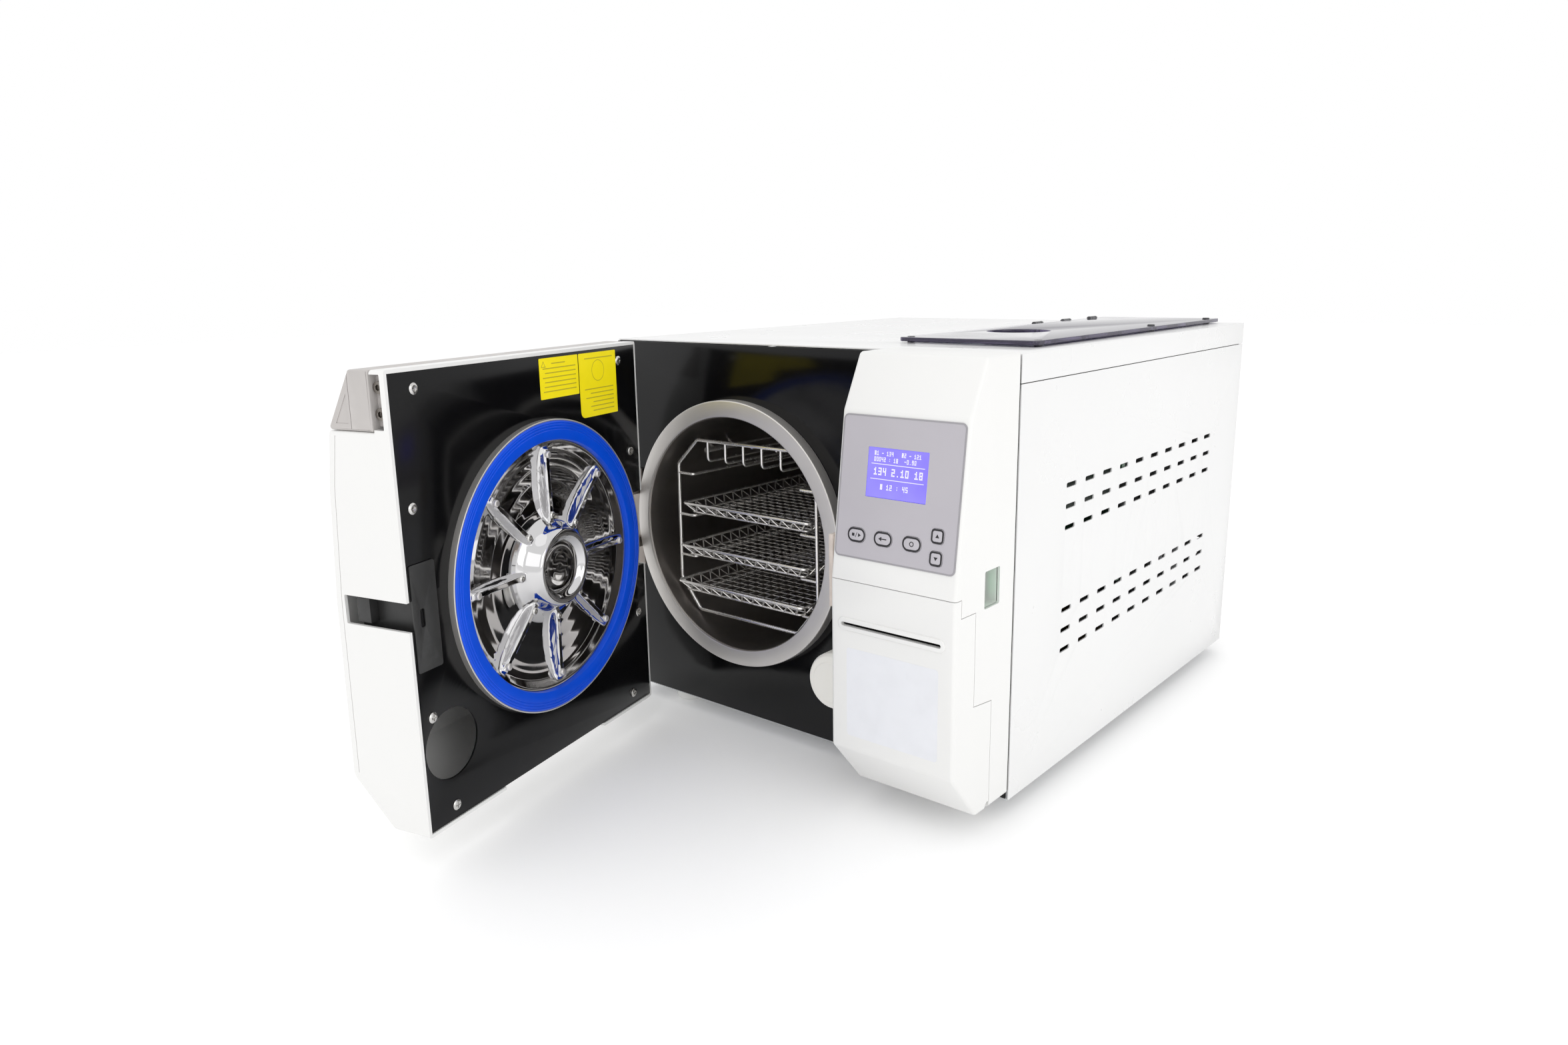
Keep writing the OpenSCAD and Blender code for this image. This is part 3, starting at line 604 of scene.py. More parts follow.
WHITE_SHEET = sheet_white()
WHITE_PLASTIC = plastic_white("white_plastic")
BLACK_PANEL = gloss_black()
GALVANISED = steel("galvanised", (0.56, 0.57, 0.58), 0.36, 0.10, scale=45, depth=0.002,
                   tarnish=(0.42, 0.43, 0.45))
SATIN = steel("stainless_satin", (0.60, 0.585, 0.57), 0.28, 0.07, grain=(1, 0.05, 1), scale=420, depth=0.004)
MIRROR = steel("stainless_mirror", (0.66, 0.655, 0.66), 0.045, 0.025, scale=35, depth=0.0)
RING = turned_steel("ring_steel", (0.74, 0.715, 0.69), 0.46)
PLATE_RIM = turned_steel("plate_rim_steel", (0.72, 0.70, 0.68), 0.40)
# steel darkened as painted shade for the unlit inside of the chamber; the brown tarnish patches are the
# steel's own stains
CHAMBER_SHADE_STEEL = steel("chamber_steel", (0.27, 0.25, 0.235), 0.36, 0.03, grain=(1, 0.10, 1), scale=90, depth=0.0,
                tarnish=(0.20, 0.175, 0.155))
WIRE = steel("wire_steel", (0.90, 0.88, 0.85), 0.24, 0.06, scale=160, depth=0.002, tarnish=(0.74, 0.69, 0.63),
             metallic=0.88)
# the hinge bracket's steel is darkened to bronze grey as painted shade, for the shadow it sits in between the
# door and the front panel
BRACKET_SHADE_STEEL = steel("bracket_steel_painted_shade", (0.30, 0.27, 0.25), 0.40, 0.06, scale=120, depth=0.002)
SEAL = rubber("seal_silicone", (0.0, 0.075, 0.70), 0.34)
GREY_TRIM = moulded("grey_trim", (0.50, 0.475, 0.46), 0.42)
YELLOW = printed("label_yellow", (1.0, 0.83, 0.0))
PALE_PRINT = printed("label_pale", (0.79, 0.80, 0.835), 0.35)
OLIVE_PRINT = printed("label_print", (0.50, 0.42, 0.02))
OVERLAY = film("overlay_grey", (0.475, 0.455, 0.49))
# the darker film of the keypad's edge band is painted shade, where the recess round the film shades its edge
OVERLAY_EDGE_SHADE = film("overlay_edge_painted_shade", (0.33, 0.32, 0.34))
KEY = film("key_grey", (0.50, 0.48, 0.515))
INK = printed("ink_dark", (0.012, 0.011, 0.014), 0.4)
LCD = display_blue()
LCD_MARK = lit("lcd_mark", (0.55, 0.55, 0.95), (0.62, 0.60, 1.0), 0.75)
BLACK_PLASTIC = moulded("black_plastic", (0.022, 0.022, 0.022), 0.40, dust=(0.05, 0.05, 0.048))
GREEN = lit("green_lit", (0.0, 0.36, 0.10), (0.0, 0.62, 0.16), 0.38, 0.12)
TAN = moulded("tan_plastic", (0.60, 0.53, 0.48), 0.42)
WHITE_RUBBER = rubber("white_rubber", (0.76, 0.76, 0.74), 0.5)
FILTER = plastic_white("filter_plastic", (0.90, 0.885, 0.83))
CLOTH = cloth("insulation", (0.66, 0.60, 0.47))
TANK = plastic_white("tank_plastic", (0.66, 0.72, 0.76))
BOARD = board_green()
PUMP_PAINT = moulded("pump_paint", (0.06, 0.065, 0.07), 0.32, 0.03, 500)
PUMP_PLASTIC = moulded("pump_plastic", (0.62, 0.62, 0.60), 0.45)
BRASS = steel("brass", (0.70, 0.50, 0.20), 0.24, 0.08, scale=120, depth=0.003, tarnish=(0.45, 0.30, 0.12))
ALUMINIUM = steel("fin_aluminium", (0.72, 0.73, 0.74), 0.34, 0.08, grain=(1, 1, 0.05), scale=260)
SCREW = steel("steel_screw", (0.66, 0.65, 0.63), 0.22, 0.08, scale=200, depth=0.004,
              tarnish=(0.45, 0.42, 0.38))
DARK_BOLT = steel("dark_bolt", (0.24, 0.22, 0.20), 0.34, 0.08, scale=200, depth=0.006)
LID = acrylic()
# near-black matt stuff for the strip in the housing's gap: painted shade standing for the shadow in that gap
GAP_SHADE_LOOK = moulded("gap_painted_shade", (0.008, 0.008, 0.008), 0.85, 0.05, 900)
HINGE_DARK = moulded("hinge_dark", (0.05, 0.05, 0.055), 0.3)
PAPER = printed("paper_white", (0.82, 0.82, 0.80), 0.7)

# ---- cabinet

for node, look, width in (
        ("base_tray", GALVANISED, 0.3), ("top_cover", WHITE_SHEET, 0.25), ("rear_panel", WHITE_SHEET, 0.3),
        ("left_side_panel", WHITE_SHEET, 0.2), ("right_side_panel", WHITE_SHEET, 0.2),
        ("front_panel", BLACK_PANEL, 0.4), ("hinge_bracket", BRACKET_SHADE_STEEL, 0.8), ("hinge_pin", SCREW, 0.4),
        ("latch_receiver", TAN, 0.6), ("switch_frame", BLACK_PLASTIC, 0.3),
        ("printer_module", BLACK_PLASTIC, 0.5),
        ("chamber_cradles", GALVANISED, 0.3), ("clean_water_tank", TANK, 0.5), ("used_water_tank", TANK, 0.5),
        ("control_board", BOARD, 0.3), ("power_supply", GALVANISED, 0.4), ("vacuum_pump", PUMP_PAINT, 0.8),
        ("water_pump", PUMP_PLASTIC, 0.6), ("steam_generator", SATIN, 0.6), ("solenoid_valves", BRASS, 0.5),
        ("condenser", ALUMINIUM, 0.2), ("fan_frame", BLACK_PLASTIC, 0.4), ("mains_inlet", BLACK_PLASTIC, 0.4),
        ("drain_ports", BRASS, 0.4), ("safety_valve", BRASS, 0.6), ("lid_hinges", HINGE_DARK, 0.3),
        ("chamber_probe", WIRE, 0.4), ("heater_jacket", CLOTH, 0.6), ("chamber_vessel", CHAMBER_SHADE_STEEL, 0.0),
        ("door_arm", GALVANISED, 0.6), ("handle_bolts", DARK_BOLT, 0.3), ("door_screws", SCREW, 0.2),
        ("latch_guide", BLACK_PLASTIC, 0.5), ("latch_bolt", BLACK_PLASTIC, 0.5),
        ("power_rocker", GREEN, 0.4), ("paper_roll", PAPER, 0.4), ("fan_rotor", BLACK_PLASTIC, 0.2)):
    refine(node, look, width)

# feet
feet = Soup()
foot_lo, foot_hi = mm_of("feet")
foot_r = 18.0
foot_h = foot_hi.z - foot_lo.z
side = fillet([(0, -foot_h, 0), (foot_r - 1, -foot_h, 0), (foot_r, -2, 0), (foot_r, 0, 0), (0, 0, 0)],
              [0, 3, 1, 0, 0], False)
for x in (foot_lo.x + foot_r, foot_hi.x - foot_r):
    for y in (foot_lo.y + foot_r, foot_hi.y - foot_r):
        feet.lathe(uv(side), 48, matrix=at(x, y, foot_hi.z))
piece("rubber_feet", feet, WHITE_RUBBER, "cabinet", stands_for="feet")

# chamber ring: satin, brushed round, with a soft inner lip
ring = Soup()
BORE, RING_R, COLLAR_R = 125, 143.2, 130  # radii of the chamber's mouth, the ring and its collar
ring_front, collar_back = ring_lo.y, 16
outline = fillet([(BORE, collar_back, 0), (BORE, ring_front, 0), (RING_R, ring_front, 0), (RING_R, -0.2, 0),
                  (COLLAR_R, -0.2, 0), (COLLAR_R, collar_back, 0)], [0, 3.2, 1.3, 0.3, 0, 0])
turned = at(CX, 0, CZ) @ Matrix.Rotation(-math.pi / 2, 4, "X")
profile = uv(outline)  # its first corner is the bore's, which takes the chamber's darkened steel as painted shade; the lip and the face are satin
lip = next(i for i, p in enumerate(profile) if i and p[1] < ring_front + 1.2)
ring.lathe(profile[lip:] + profile[:1], 160, 0, turned, False)
ring.lathe(profile[:lip + 1], 160, 1, turned, False)
piece("mouth_ring", ring, [RING, CHAMBER_SHADE_STEEL], "cabinet", stands_for="chamber_ring",
      crease=50)

# air filter: a stepped cap with a knurled rim
cap_lo, cap_hi = mm_of("filter_cap")
cap_x, cap_z = (cap_lo.x + cap_hi.x) / 2, (cap_lo.z + cap_hi.z) / 2
cap = Soup()
face = fillet([(0, 32, 0), (20, 32, 0), (21, 30.6, 0), (26, 30.6, 0), (28.5, 26, 0), (28.5, 4, 0),
               (25.5, 0, 0), (12, 0, 0), (12, -7.9, 0), (8, -7.9, 0), (8, -24, 0), (0, -24, 0)],
              [0, 0.8, 0.8, 2.5, 3, 2, 1, 0.5, 0.5, 0.3, 0.5, 0], False)
cap_axis = at(cap_x, -8, cap_z) @ Matrix.Rotation(math.pi / 2, 4, "X")
cap.lathe(uv(face), 72, matrix=cap_axis)
for x, y in circle(0, 0, 28.15, 36):
    cap.tube([(0, 0, 6), (0, 0, 24)], 0.55, 6, matrix=cap_axis @ at(x, y, 0))
piece("air_filter", cap, FILTER, "filter", stands_for="filter_cap")

# ---- control housing

HX0, HX1 = mm_of("control_housing")[0].x, mm_of("control_housing")[1].x
SIDE = [(12, 8, 0), (-55, 8, 0), (-96, 56, 0), (-96, 214, 0), (-77, 361, 0), (-53, 409, 0), (12, 409, 0)]
SIDE_R = [0, 6, 7, 12, 12, 5, 0]
FOLD = (-36, 10.8)  # y and z of the folding cover's pivot
PAPER_SLOT = at(188.7, -96, 174.6) @ ACROSS_Y
SEAM = [(-34, -5), (-34, 110), (-64, 113.5), (-64, 197.5), (-87, 198), (-87, 214), (-125, 214), (-125, -5)]


def shell():
    """The hollow moulding that the housing and the folding cover are cut from."""
    loop = uv(fillet(SIDE, SIDE_R))
    outer = flat([loop], HX0, HX1, 3.4, 4, matrix=ACROSS_X)
    inner = flat([loop], HX0 + 3, HX1 - 3, 1.2, 2, -2.9, matrix=ACROSS_X)
    back = slab_mesh((HX0 - 9, -0.5, -20), (HX1 + 9, 60, 450))
    return combine(combine(outer, [inner]), [back])


def key_outline(w, h, r, grow=0.0):
    return uv(rect(-w / 2 - grow, -h / 2 - grow, w / 2 + grow, h / 2 + grow, r + grow, 6))


KEYS = {"start_key": (150.4, 255.5, 18.6, 12.4, 6), "back_key": (178, 255.5, 18.6, 12.4, 6),
        "ok_key": (207, 255.5, 18.6, 12.4, 6), "up_key": (231.2, 265.4, 12.2, 12.2, 3.4),
        "down_key": (231.2, 247, 12.2, 12.2, 3.4)}
cuts = [flat([[(u + (0.6 if u > -120 else 0), v + (0.6 if v > 0 else 0)) for u, v in SEAM]], HX0 - 5, HX1 + 5,
             matrix=ACROSS_X)]
cuts += [flat([key_outline(w, h, r, 0.4)], -8, 3, matrix=slope_at(x, z)) for x, z, w, h, r in KEYS.values()]
cuts.append(flat([rect(-30.5, -21.5, 30.5, 21.5, 0.8)], -8, 3, matrix=slope_at(186.5, 310.6)))
# the recess round the power switch: its mouth, its walls and its floor
well_out, well_in = rect(-52, 195.5, -23, 231.5, 2), rect(-50, 197, -25, 230, 1.6)
cuts.append(flat([well_in], 238, 260, matrix=ACROSS_X))
housing = Soup().mesh(combine(shell(), cuts)).mesh(flat([well_out, well_in], 236.5, 250.6, matrix=ACROSS_X))
housing.mesh(flat([well_out, rect(-46.4, 200.6, -28.6, 226.4, 0.6)], 236, 238, matrix=ACROSS_X))
for x in (HX0 + 9, HX1 - 13):
    housing.slab((x, -34, 8.3), (x + 4, -20, 13.2)).slab((x, -26, 8.3), (x + 4, -20, 40))
    housing.slab((x, -26, 30), (x + 4, -1, 40))
    housing.tube([(x - 4, *FOLD), (x + 8, *FOLD)], 2, 20)
    x0, x1 = (HX0 + 1, x + 4) if x < 150 else (x, HX1 - 1)
    housing.slab((x0, -6, 30), (x1, -1, 40))
piece("housing_shell", housing, WHITE_PLASTIC, "cabinet", stands_for="control_housing",
      recalc=False)

# a black strip filling the gap between the housing and the side panel: painted shade for the shadow in the
# gap
strip = [(HX1 - 5.5, -0.45), (HX1 - 1.2, -0.45), (HX1 - 1.2, 2.9), (HX1 - 5.5, 2.9)]
gap_shade_mesh = soup_mesh(Soup().prism(strip, 10, 398))
piece("gap_shade_strip", gap_shade_mesh, GAP_SHADE_LOOK, "cabinet")

region = flat([SEAM], HX0 - 5, HX1 + 5, matrix=ACROSS_X)
cover = combine(shell(), [region], "INTERSECT")
lip = flat([rect(-55, -5.9, 55, 5.9, 5.8, 8)], -3, 1.4, 1.0, 3, matrix=PAPER_SLOT)
cover = combine(cover, [lip], "UNION")
slot_cut = flat([rect(-51.5, -1.8, 51.5, 1.8, 1.7, 5)], -12, 8, matrix=PAPER_SLOT)
pivot_cut = flat([circle(*FOLD, 4.0, 24)], HX0 - 2, HX1 + 2, matrix=ACROSS_X)
cover = Soup().mesh(combine(cover, [slot_cut, pivot_cut]))
for x in (HX0 + 4.9, HX0 + 13.2, HX1 - 17.1, HX1 - 8.8):
    barrel = flat([circle(*FOLD, 3.4, 24), circle(*FOLD, 2.06, 24)], x, x + 3.8, 0.2, 1, matrix=ACROSS_X)
    cover.mesh(barrel).slab((x, -44, 8.3), (x + 3.8, -38.6, 13.4))
piece("folding_front", cover, WHITE_PLASTIC, "folding_cover", stands_for="front_cover",
      recalc=False)
label = flat([rect(-47.5, -41.5, 47.5, 41.5, 3, 4)], 0, 0.14, matrix=at(190, -96, 111.5) @ ACROSS_Y)
piece("pale_label", label, PALE_PRINT, "folding_cover")

# membrane film, a darker band round its edge that is painted shade from the recess, and the window of the
# display
window = rect(-32.8, -7.1, 27.8, 35.4, 0.6)
holes = [window]
for x, z, w, h, r in KEYS.values():
    up = (z - 296.5) / math.cos(SLOPE)
    holes.append([(u + x - 189, v + up) for u, v in key_outline(w, h, r, 0.35)])
keypad = Soup()
edge = rect(-61, -62, 61, 62, 5, 6)
inside = rect(-59.6, -60.6, 59.6, 60.6, 3.8, 6)
film_spot = slope_at(189, 296.5)
keypad.mesh(flat([inside, *[uv(h) for h in holes]], 0.02, 0.66, 0.06, 1, matrix=film_spot))
keypad.mesh(flat([edge, inside], 0.02, 0.8, 0.15, 2, matrix=film_spot), 1)
piece("membrane_film", keypad, [OVERLAY, OVERLAY_EDGE_SHADE], "cabinet", stands_for="keypad_overlay")

FONT = {"0": ("111", "101", "101", "101", "111"), "1": ("010", "110", "010", "010", "111"),
        "2": ("111", "001", "111", "100", "111"), "3": ("111", "001", "111", "001", "111"),
        "4": ("101", "101", "111", "001", "001"), "5": ("111", "100", "111", "001", "111"),
        "8": ("111", "101", "111", "101", "111"), "9": ("111", "101", "111", "001", "111"),
        ".": ("000", "000", "000", "000", "010"), ":": ("000", "010", "000", "010", "000"),
        "-": ("000", "000", "111", "000", "000"), " ": ("000",) * 5, "#": ("111", "111", "111", "111", "111")}


def dots(text, u, v, cell, tall):
    """Digits drawn as dots on the display."""
    for ch in text:
        for row, bits in enumerate(FONT[ch]):
            for col, bit in enumerate(bits):
                if bit == "1":
                    a, b = u + col * cell, v - (row + 1) * cell * tall
                    screen.slab((a, b, DOT_LOW), (a + cell * 0.86, b + cell * tall * 0.86, DOT_HIGH), 1, spot)
        u += cell * 4


DOT_LOW, DOT_HIGH = 0.42, 0.47
screen = Soup()
spot = slope_at(186.5, 310.6)
screen.mesh(flat([rect(-30, -21, 30, 21, 0.5)], -3.4, 0.4, 0.15, 1, matrix=spot))
screen.mesh(flat([rect(-36, -26, 36, 26, 1)], -9, -3.4, 0.3, 1, matrix=spot), 2)
for text, u, v, cell, tall in (
        ("#1 - 134", -24, 18.6, 0.62, 1.25), ("#2 - 121", 3.5, 18.6, 0.62, 1.25),
        ("00042 : 18", -24, 13.4, 0.62, 1.25), ("-0.90", 6.5, 13.4, 0.62, 1.25),
        ("134", -23.5, 4.6, 1.15, 1.15), ("2.10", -5.5, 4.6, 1.15, 1.15), ("18", 17.5, 4.6, 1.15, 1.15),
        ("# 12 : 45", -16, -9.2, 0.8, 1.2)):
    dots(text, u, v, cell, tall)
for v in (7.2, -5.6):
    screen.slab((-26.5, v, DOT_LOW), (27, v + 0.5, DOT_HIGH), 1, spot)
piece("display", screen, [LCD, LCD_MARK, BLACK_PLASTIC], "cabinet", stands_for="lcd_module",
      recalc=False)


def icon(soup, name, spot):
    """The marks on the keys: stop and run, a back arrow, a ring, up and down."""
    top = (1.36, 1.44)
    if name == "start_key":
        soup.prism(rect(-4.6, -1.3, -2.0, 1.3), *top, 1, spot)
        soup.prism([(-1.2, -2.2), (-0.7, -2.2), (0.9, 2.2), (0.4, 2.2)], *top, 1, spot)
        soup.prism([(1.9, -1.7), (4.8, 0), (1.9, 1.7)], *top, 1, spot)
    elif name == "back_key":
        soup.prism([(-4.4, 0), (-1.4, -1.9), (-1.4, 1.9)], *top, 1, spot)
        soup.prism(rect(-1.4, -0.45, 3.8, 0.45), *top, 1, spot)
    elif name == "ok_key":
        soup.mesh(flat([circle(0, 0, 2.2, 28), circle(0, 0, 1.45, 28)], *top, matrix=spot), 1)
    else:
        s = 1 if name == "up_key" else -1
        tip = [(-1.9, -1.3 * s), (1.9, -1.3 * s), (0, 1.7 * s)]
        soup.prism(tip if s > 0 else tip[::-1], *top, 1, spot)


for name, (x, z, w, h, r) in KEYS.items():
    spot = slope_at(x, z)
    cap = Soup().mesh(flat([key_outline(w, h, r)], -1.6, 1.36, 0.45, 3, matrix=spot))
    border = [key_outline(w, h, r, -0.1), key_outline(w, h, r, -1.7)]
    cap.mesh(flat(border, 1.10, 1.42, 0.10, 1, matrix=spot), 1)
    cap.tube([(0, 0, -4), (0, 0, -1.4)], 2, 20, matrix=spot)
    icon(cap, name, spot)
    piece(name + "_cap", cap, [KEY, INK], "key_" + name.split("_")[0], stands_for=name,
          recalc=False)

# ---- rack and trays

RACK_LO, RACK_HI = mm_of("tray_rack")
Y0, Y1 = RACK_LO.y + 2, RACK_HI.y - 2
corners = [(-68, 94), (68, 94), (98, 65), (99, -66), (71, -100), (-71, -100), (-99, -66), (-98, 65)]
rack = Soup()
for y in (Y0, Y1):
    loop = fillet([(CX + u, y, CZ + v) for u, v in corners], 7)
    rack.tube(loop, 1.95, 10, True)
TRAYS = ("top_tray", "middle_tray", "bottom_tray")
RIMS = [mm_of(n)[1].z for n in TRAYS]
for z in [*[rim_z - 15.2 for rim_z in RIMS], 260.8]:
    for s in (-1, 1):
        out = 90 if z - CZ < -62 else 98
        run = [(CX + s * out, Y0, z), (CX + s * 76, Y0, z), (CX + s * 76, Y1, z), (CX + s * out, Y1, z)]
        rack.tube(fillet(run, 3.2, False), 1.6, 8)
for i in range(-2, 3):
    x = CX + i * 26
    run = [(x, Y0, CZ + 93.5), (x, Y0, CZ + 71.6), (x, Y1, CZ + 71.6), (x, Y1, CZ + 93.5)]
    rack.tube(fillet(run, 5, False), 1.5, 8)
for i in (-1, 0, 1):  # top bars between the two frames
    x = CX + i * 34 + 12
    rack.tube([(x, Y0, CZ + 92), (x, Y1, CZ + 92)], 1.2, 6)
piece("wire_rack", rack, WIRE, "rack", stands_for="tray_rack", crease=60)


def tray(name, body):
    """A basket of round wire: double rim, mesh floor, zigzag sides."""
    lo, hi = mm_of(name)
    soup = Soup()
    half, length = (hi.x - lo.x) / 2, hi.y - lo.y
    here = at((lo.x + hi.x) / 2, lo.y, hi.z)
    rim_r, fine_r, step_in, low = 1.6, 0.6, 8.5, -11.6
    rim = rect(-half + rim_r, rim_r, half - rim_r, length - rim_r)
    soup.tube(fillet([(*q, -rim_r) for q in rim], 5), rim_r, 10, True, matrix=here)
    w, y0, y1 = half - step_in, step_in, length - step_in
    soup.tube(fillet([(*q, low) for q in rect(-w, y0, w, y1)], 4), 1.15, 8, True, matrix=here)
    for i in range(1, 14):
        x = -w + 2 * w * i / 14
        soup.tube([(x, y0, low + 0.3), (x, y1, low + 0.3)], fine_r, 6, matrix=here)
    for i in range(1, 28):
        y = y0 + (length - 2 * step_in) * i / 28
        soup.tube([(-w, y, low - 0.6), (w, y, low - 0.6)], fine_r, 6, matrix=here)
    out, far = half - 1.8, length - 1.8
    for a, b, c, d in (((-out, 6), (-out, length - 6), (-w, y0), (-w, y1)),
                       ((out, 6), (out, length - 6), (w, y0), (w, y1)),
                       ((-half + 6, 1.8), (half - 6, 1.8), (-w, y0), (w, y0)),
                       ((-half + 6, far), (half - 6, far), (-w, y1), (w, y1))):
        span = (Vector(b) - Vector(a)).length
        steps = 2 * round(span / 15.5)
        run = []
        for i in range(steps + 1):
            top, bottom = Vector(a).lerp(Vector(b), i / steps), Vector(c).lerp(Vector(d), i / steps)
            p = top if i % 2 == 0 else bottom
            run.append((p.x, p.y, -2.4 if i % 2 == 0 else low - 0.4))
        soup.tube(fillet(run, 1.6, False, 3), 0.85, 6, matrix=here)
    piece(name + "_wire", soup, WIRE, body, stands_for=name, crease=70)


for name in TRAYS:
    tray(name, "tray_" + name.split("_")[0])

# ---- tank lid

LID_PIN = (74.5, 411.5)  # x and z
LID_HINGES = (375, 450, 525)
lid = flat([rect(78.4, 75, 228.4, 550, 6, 6), circle(135, 215, 33, 72)], 408.8, 412.8, 0.7, 3)
notches = [slab_mesh((70, y - 10.6, 400), (79.4, y + 10.6, 420)) for y in LID_HINGES]
lid = Soup().mesh(combine(lid, notches))
for y in LID_HINGES:
    knuckle = flat([circle(0, 0, 3, 28), circle(0, 0, 1.56, 28)], -4.8, 4.8, 0.2, 1,
                   matrix=at(LID_PIN[0], y, LID_PIN[1]) @ Matrix.Rotation(math.pi / 2, 4, "X"))
    lid.mesh(knuckle, 1).slab((77, y - 4.8, 409.3), (81, y + 4.8, 412.7), 1)
for x, y, tall in ((222, 352, 7.4), (222, 521, 7.4), (222, 90, 5.9), (84, 90, 5.9)):
    pad = fillet([(0, 0, 0), (4, 0, 0), (4, tall, 0), (0, tall, 0)], [0, 0.6, 0.8, 0], False)
    lid.lathe(uv(pad), 28, 1, at(x, y, 407.2), False)
piece("tinted_lid", lid, [LID, HINGE_DARK], "lid", stands_for="tank_lid", recalc=False)

# ---- door

DOOR_X = (-233, 115.5)  # hinge edge and free edge
PANEL_Y = -22  # face of the inner panel
D_SIDE = [(10, 13, 0), (-62, 13, 0), (-104, 56, 0), (-101, 214, 0), (-94, 313, 0), (-87, 360, 0),
          (-38, 360, 0), (-38, 409, 0), (10, 409, 0)]
loop = uv(fillet(D_SIDE, [0, 8, 10, 60, 60, 3, 0.4, 3, 0]))
outer = flat([loop], *DOOR_X, 2.6, 4, matrix=ACROSS_X)
inner = flat([uv(inset(D_SIDE, 3))], DOOR_X[0] + 3, DOOR_X[1] - 3, matrix=ACROSS_X)
eased = [(-234, -22.9), (-234, -20), (-225.6, -20), (-225.6, -21)]
cuts = [slab_mesh((-260, -21, -20), (200, 60, 450)), slab_mesh((-240, -98.2, 168), (-228, -10, 250)),
        flat([rect(-90, 197, 0, 222, 1.2)], 108, 120, matrix=ACROSS_X),
        flat([[(-99, 316), (-92.3, 313), (-99, 310)]], -234, 117, matrix=ACROSS_X),
        flat([[(-108, 101), (-101.6, 98), (-108, 95)]], -234, 117, matrix=ACROSS_X),
        flat([rect(-38.5, 362, -26, 405.5, 0.8)], 104, 120, matrix=ACROSS_X),
        slab_mesh((-140, -30, 10), (17, -10, 17)), soup_mesh(Soup().prism(eased, 5, 415))]
seam = [(-96.4, 60), (-93.6, 214), (-86.8, 313), (-80, 356)]
groove = [(a + 0.35, b) for a, b in seam] + [(a - 0.35, b) for a, b in seam[::-1]]
cuts.append(flat([groove], 114.7, 117, matrix=ACROSS_X))
cover = combine(combine(outer, [inner]), cuts)
piece("door_shell", cover, WHITE_PLASTIC, "door", DOOR, "door_cover", recalc=False)

panel = [(-229.6, 16.4), (112.1, 16.4), (112.1, 197), (104, 197), (104, 222), (112.1, 222), (112.1, 405.6),
         (-229.6, 405.6), (-229.6, 250), (-213.5, 250), (-213.5, 168), (-229.6, 168)]
mesh = flat([panel, circle(CX, CZ, 134, 120), circle(78.4, 85.8, 31.3, 72)], 22, 24, 0.35, 2, matrix=ACROSS_Y)
piece("door_inner_panel", mesh, BLACK_PANEL, "door", DOOR, "door_panel")

# the pressed plate: a dished disc with eight ribs and a central boss
PLATE_R, SEAT_R, SEAT_H, RIBS = 141, 139.45, 1.2, 8
DISH = [(0, 8.5), (12, 8.6), (20, 8.9), (25.6, 10), (28.2, 12.6), (30.6, 15.6), (34, 16), (36.8, 14.6),
        (39.2, 10), (41.4, 4.6), (44, 0.4), (49, -3.4), (56, -5.6), (66, -6.7), (80, -7), (94, -6.3),
        (104, -4.9), (111, -3), (117, -0.4), (120.6, SEAT_H), (139.5, SEAT_H)]


def dish(r):
    """Height of the plain dish, without its ribs, at a radius."""
    for (r0, h0), (r1, h1) in zip(DISH, DISH[1:]):
        if r <= r1:
            f = (r - r0) / (r1 - r0)
            return h0 + (h1 - h0) * f
    return DISH[-1][1]


def smooth(t):
    t = min(1.0, max(0.0, t))
    return t * t * (3 - 2 * t)


SAMPLES = [dish(r / 2) for r in range(2 * PLATE_R)]  # every half millimetre, then smoothed
for _ in range(5):
    middle = [(a + 2 * b + c) / 4 for a, b, c in zip(SAMPLES, SAMPLES[1:], SAMPLES[2:])]
    SAMPLES = [SAMPLES[0], *middle, SAMPLES[-1]]


def plate_height(r, turn):
    """Height of the plate's face in front of the door's inner panel."""
    i = min(len(SAMPLES) - 2, int(r * 2))
    base = SAMPLES[i] + (SAMPLES[i + 1] - SAMPLES[i]) * (r * 2 - i)
    if not 38 < r < 119:
        return base
    step = 2 * math.pi / RIBS
    off = (turn + step / 2) % step - step / 2
    side = abs(r * math.sin(off))
    along = r * math.cos(off)
    # each rib runs from the hub towards the rim and ends a little lower there
    crest = 3.25 - 0.5 * smooth((along - 60) / 45)
    ends = smooth((along - 41.5) / 3.5) * (1 - smooth((along - 112.5) / 4))
    shape = 1 - smooth((side - 2.2) / 3.0)
    return base + max(0.0, crest - base) * shape * ends


plate = Soup()
near = [7.2 * i / 16 for i in range(-16, 17)]
wide = [7.2 + 30.6 * i / 11 for i in range(1, 11)]
turns = [math.radians(360 / RIBS * k + a) for k in range(RIBS) for a in near + wide]
TURNS = len(turns)
radii = [0.0] + [2.0 + 2.0 * i for i in range(11)] + [24 + 0.8 * i for i in range(36)]
radii += [53.2 + 1.8 * i for i in range(29)] + [105.2 + 0.9 * i for i in range(14)]
radii += [117.6, 119.2, 121, 125, 132, SEAT_R]
rows, verts, faces = [], [], []
for r in radii:
    if r == 0:
        rows.append([0] * TURNS)
        verts.append((0, 0, plate_height(0, 0)))
        continue
    rows.append(list(range(len(verts), len(verts) + TURNS)))
    for a in turns:
        verts.append((r * math.cos(a), r * math.sin(a), plate_height(r, a)))
for a, b in zip(rows, rows[1:]):
    for k in range(TURNS):
        q = [a[k], a[(k + 1) % TURNS], b[(k + 1) % TURNS], b[k]]
        faces.append([x for j, x in enumerate(q) if x not in q[:j]])
facing = at(CX, PANEL_Y, CZ) @ Matrix.Rotation(-math.pi / 2, 4, "X")
plate.add(verts, faces, 0, facing)
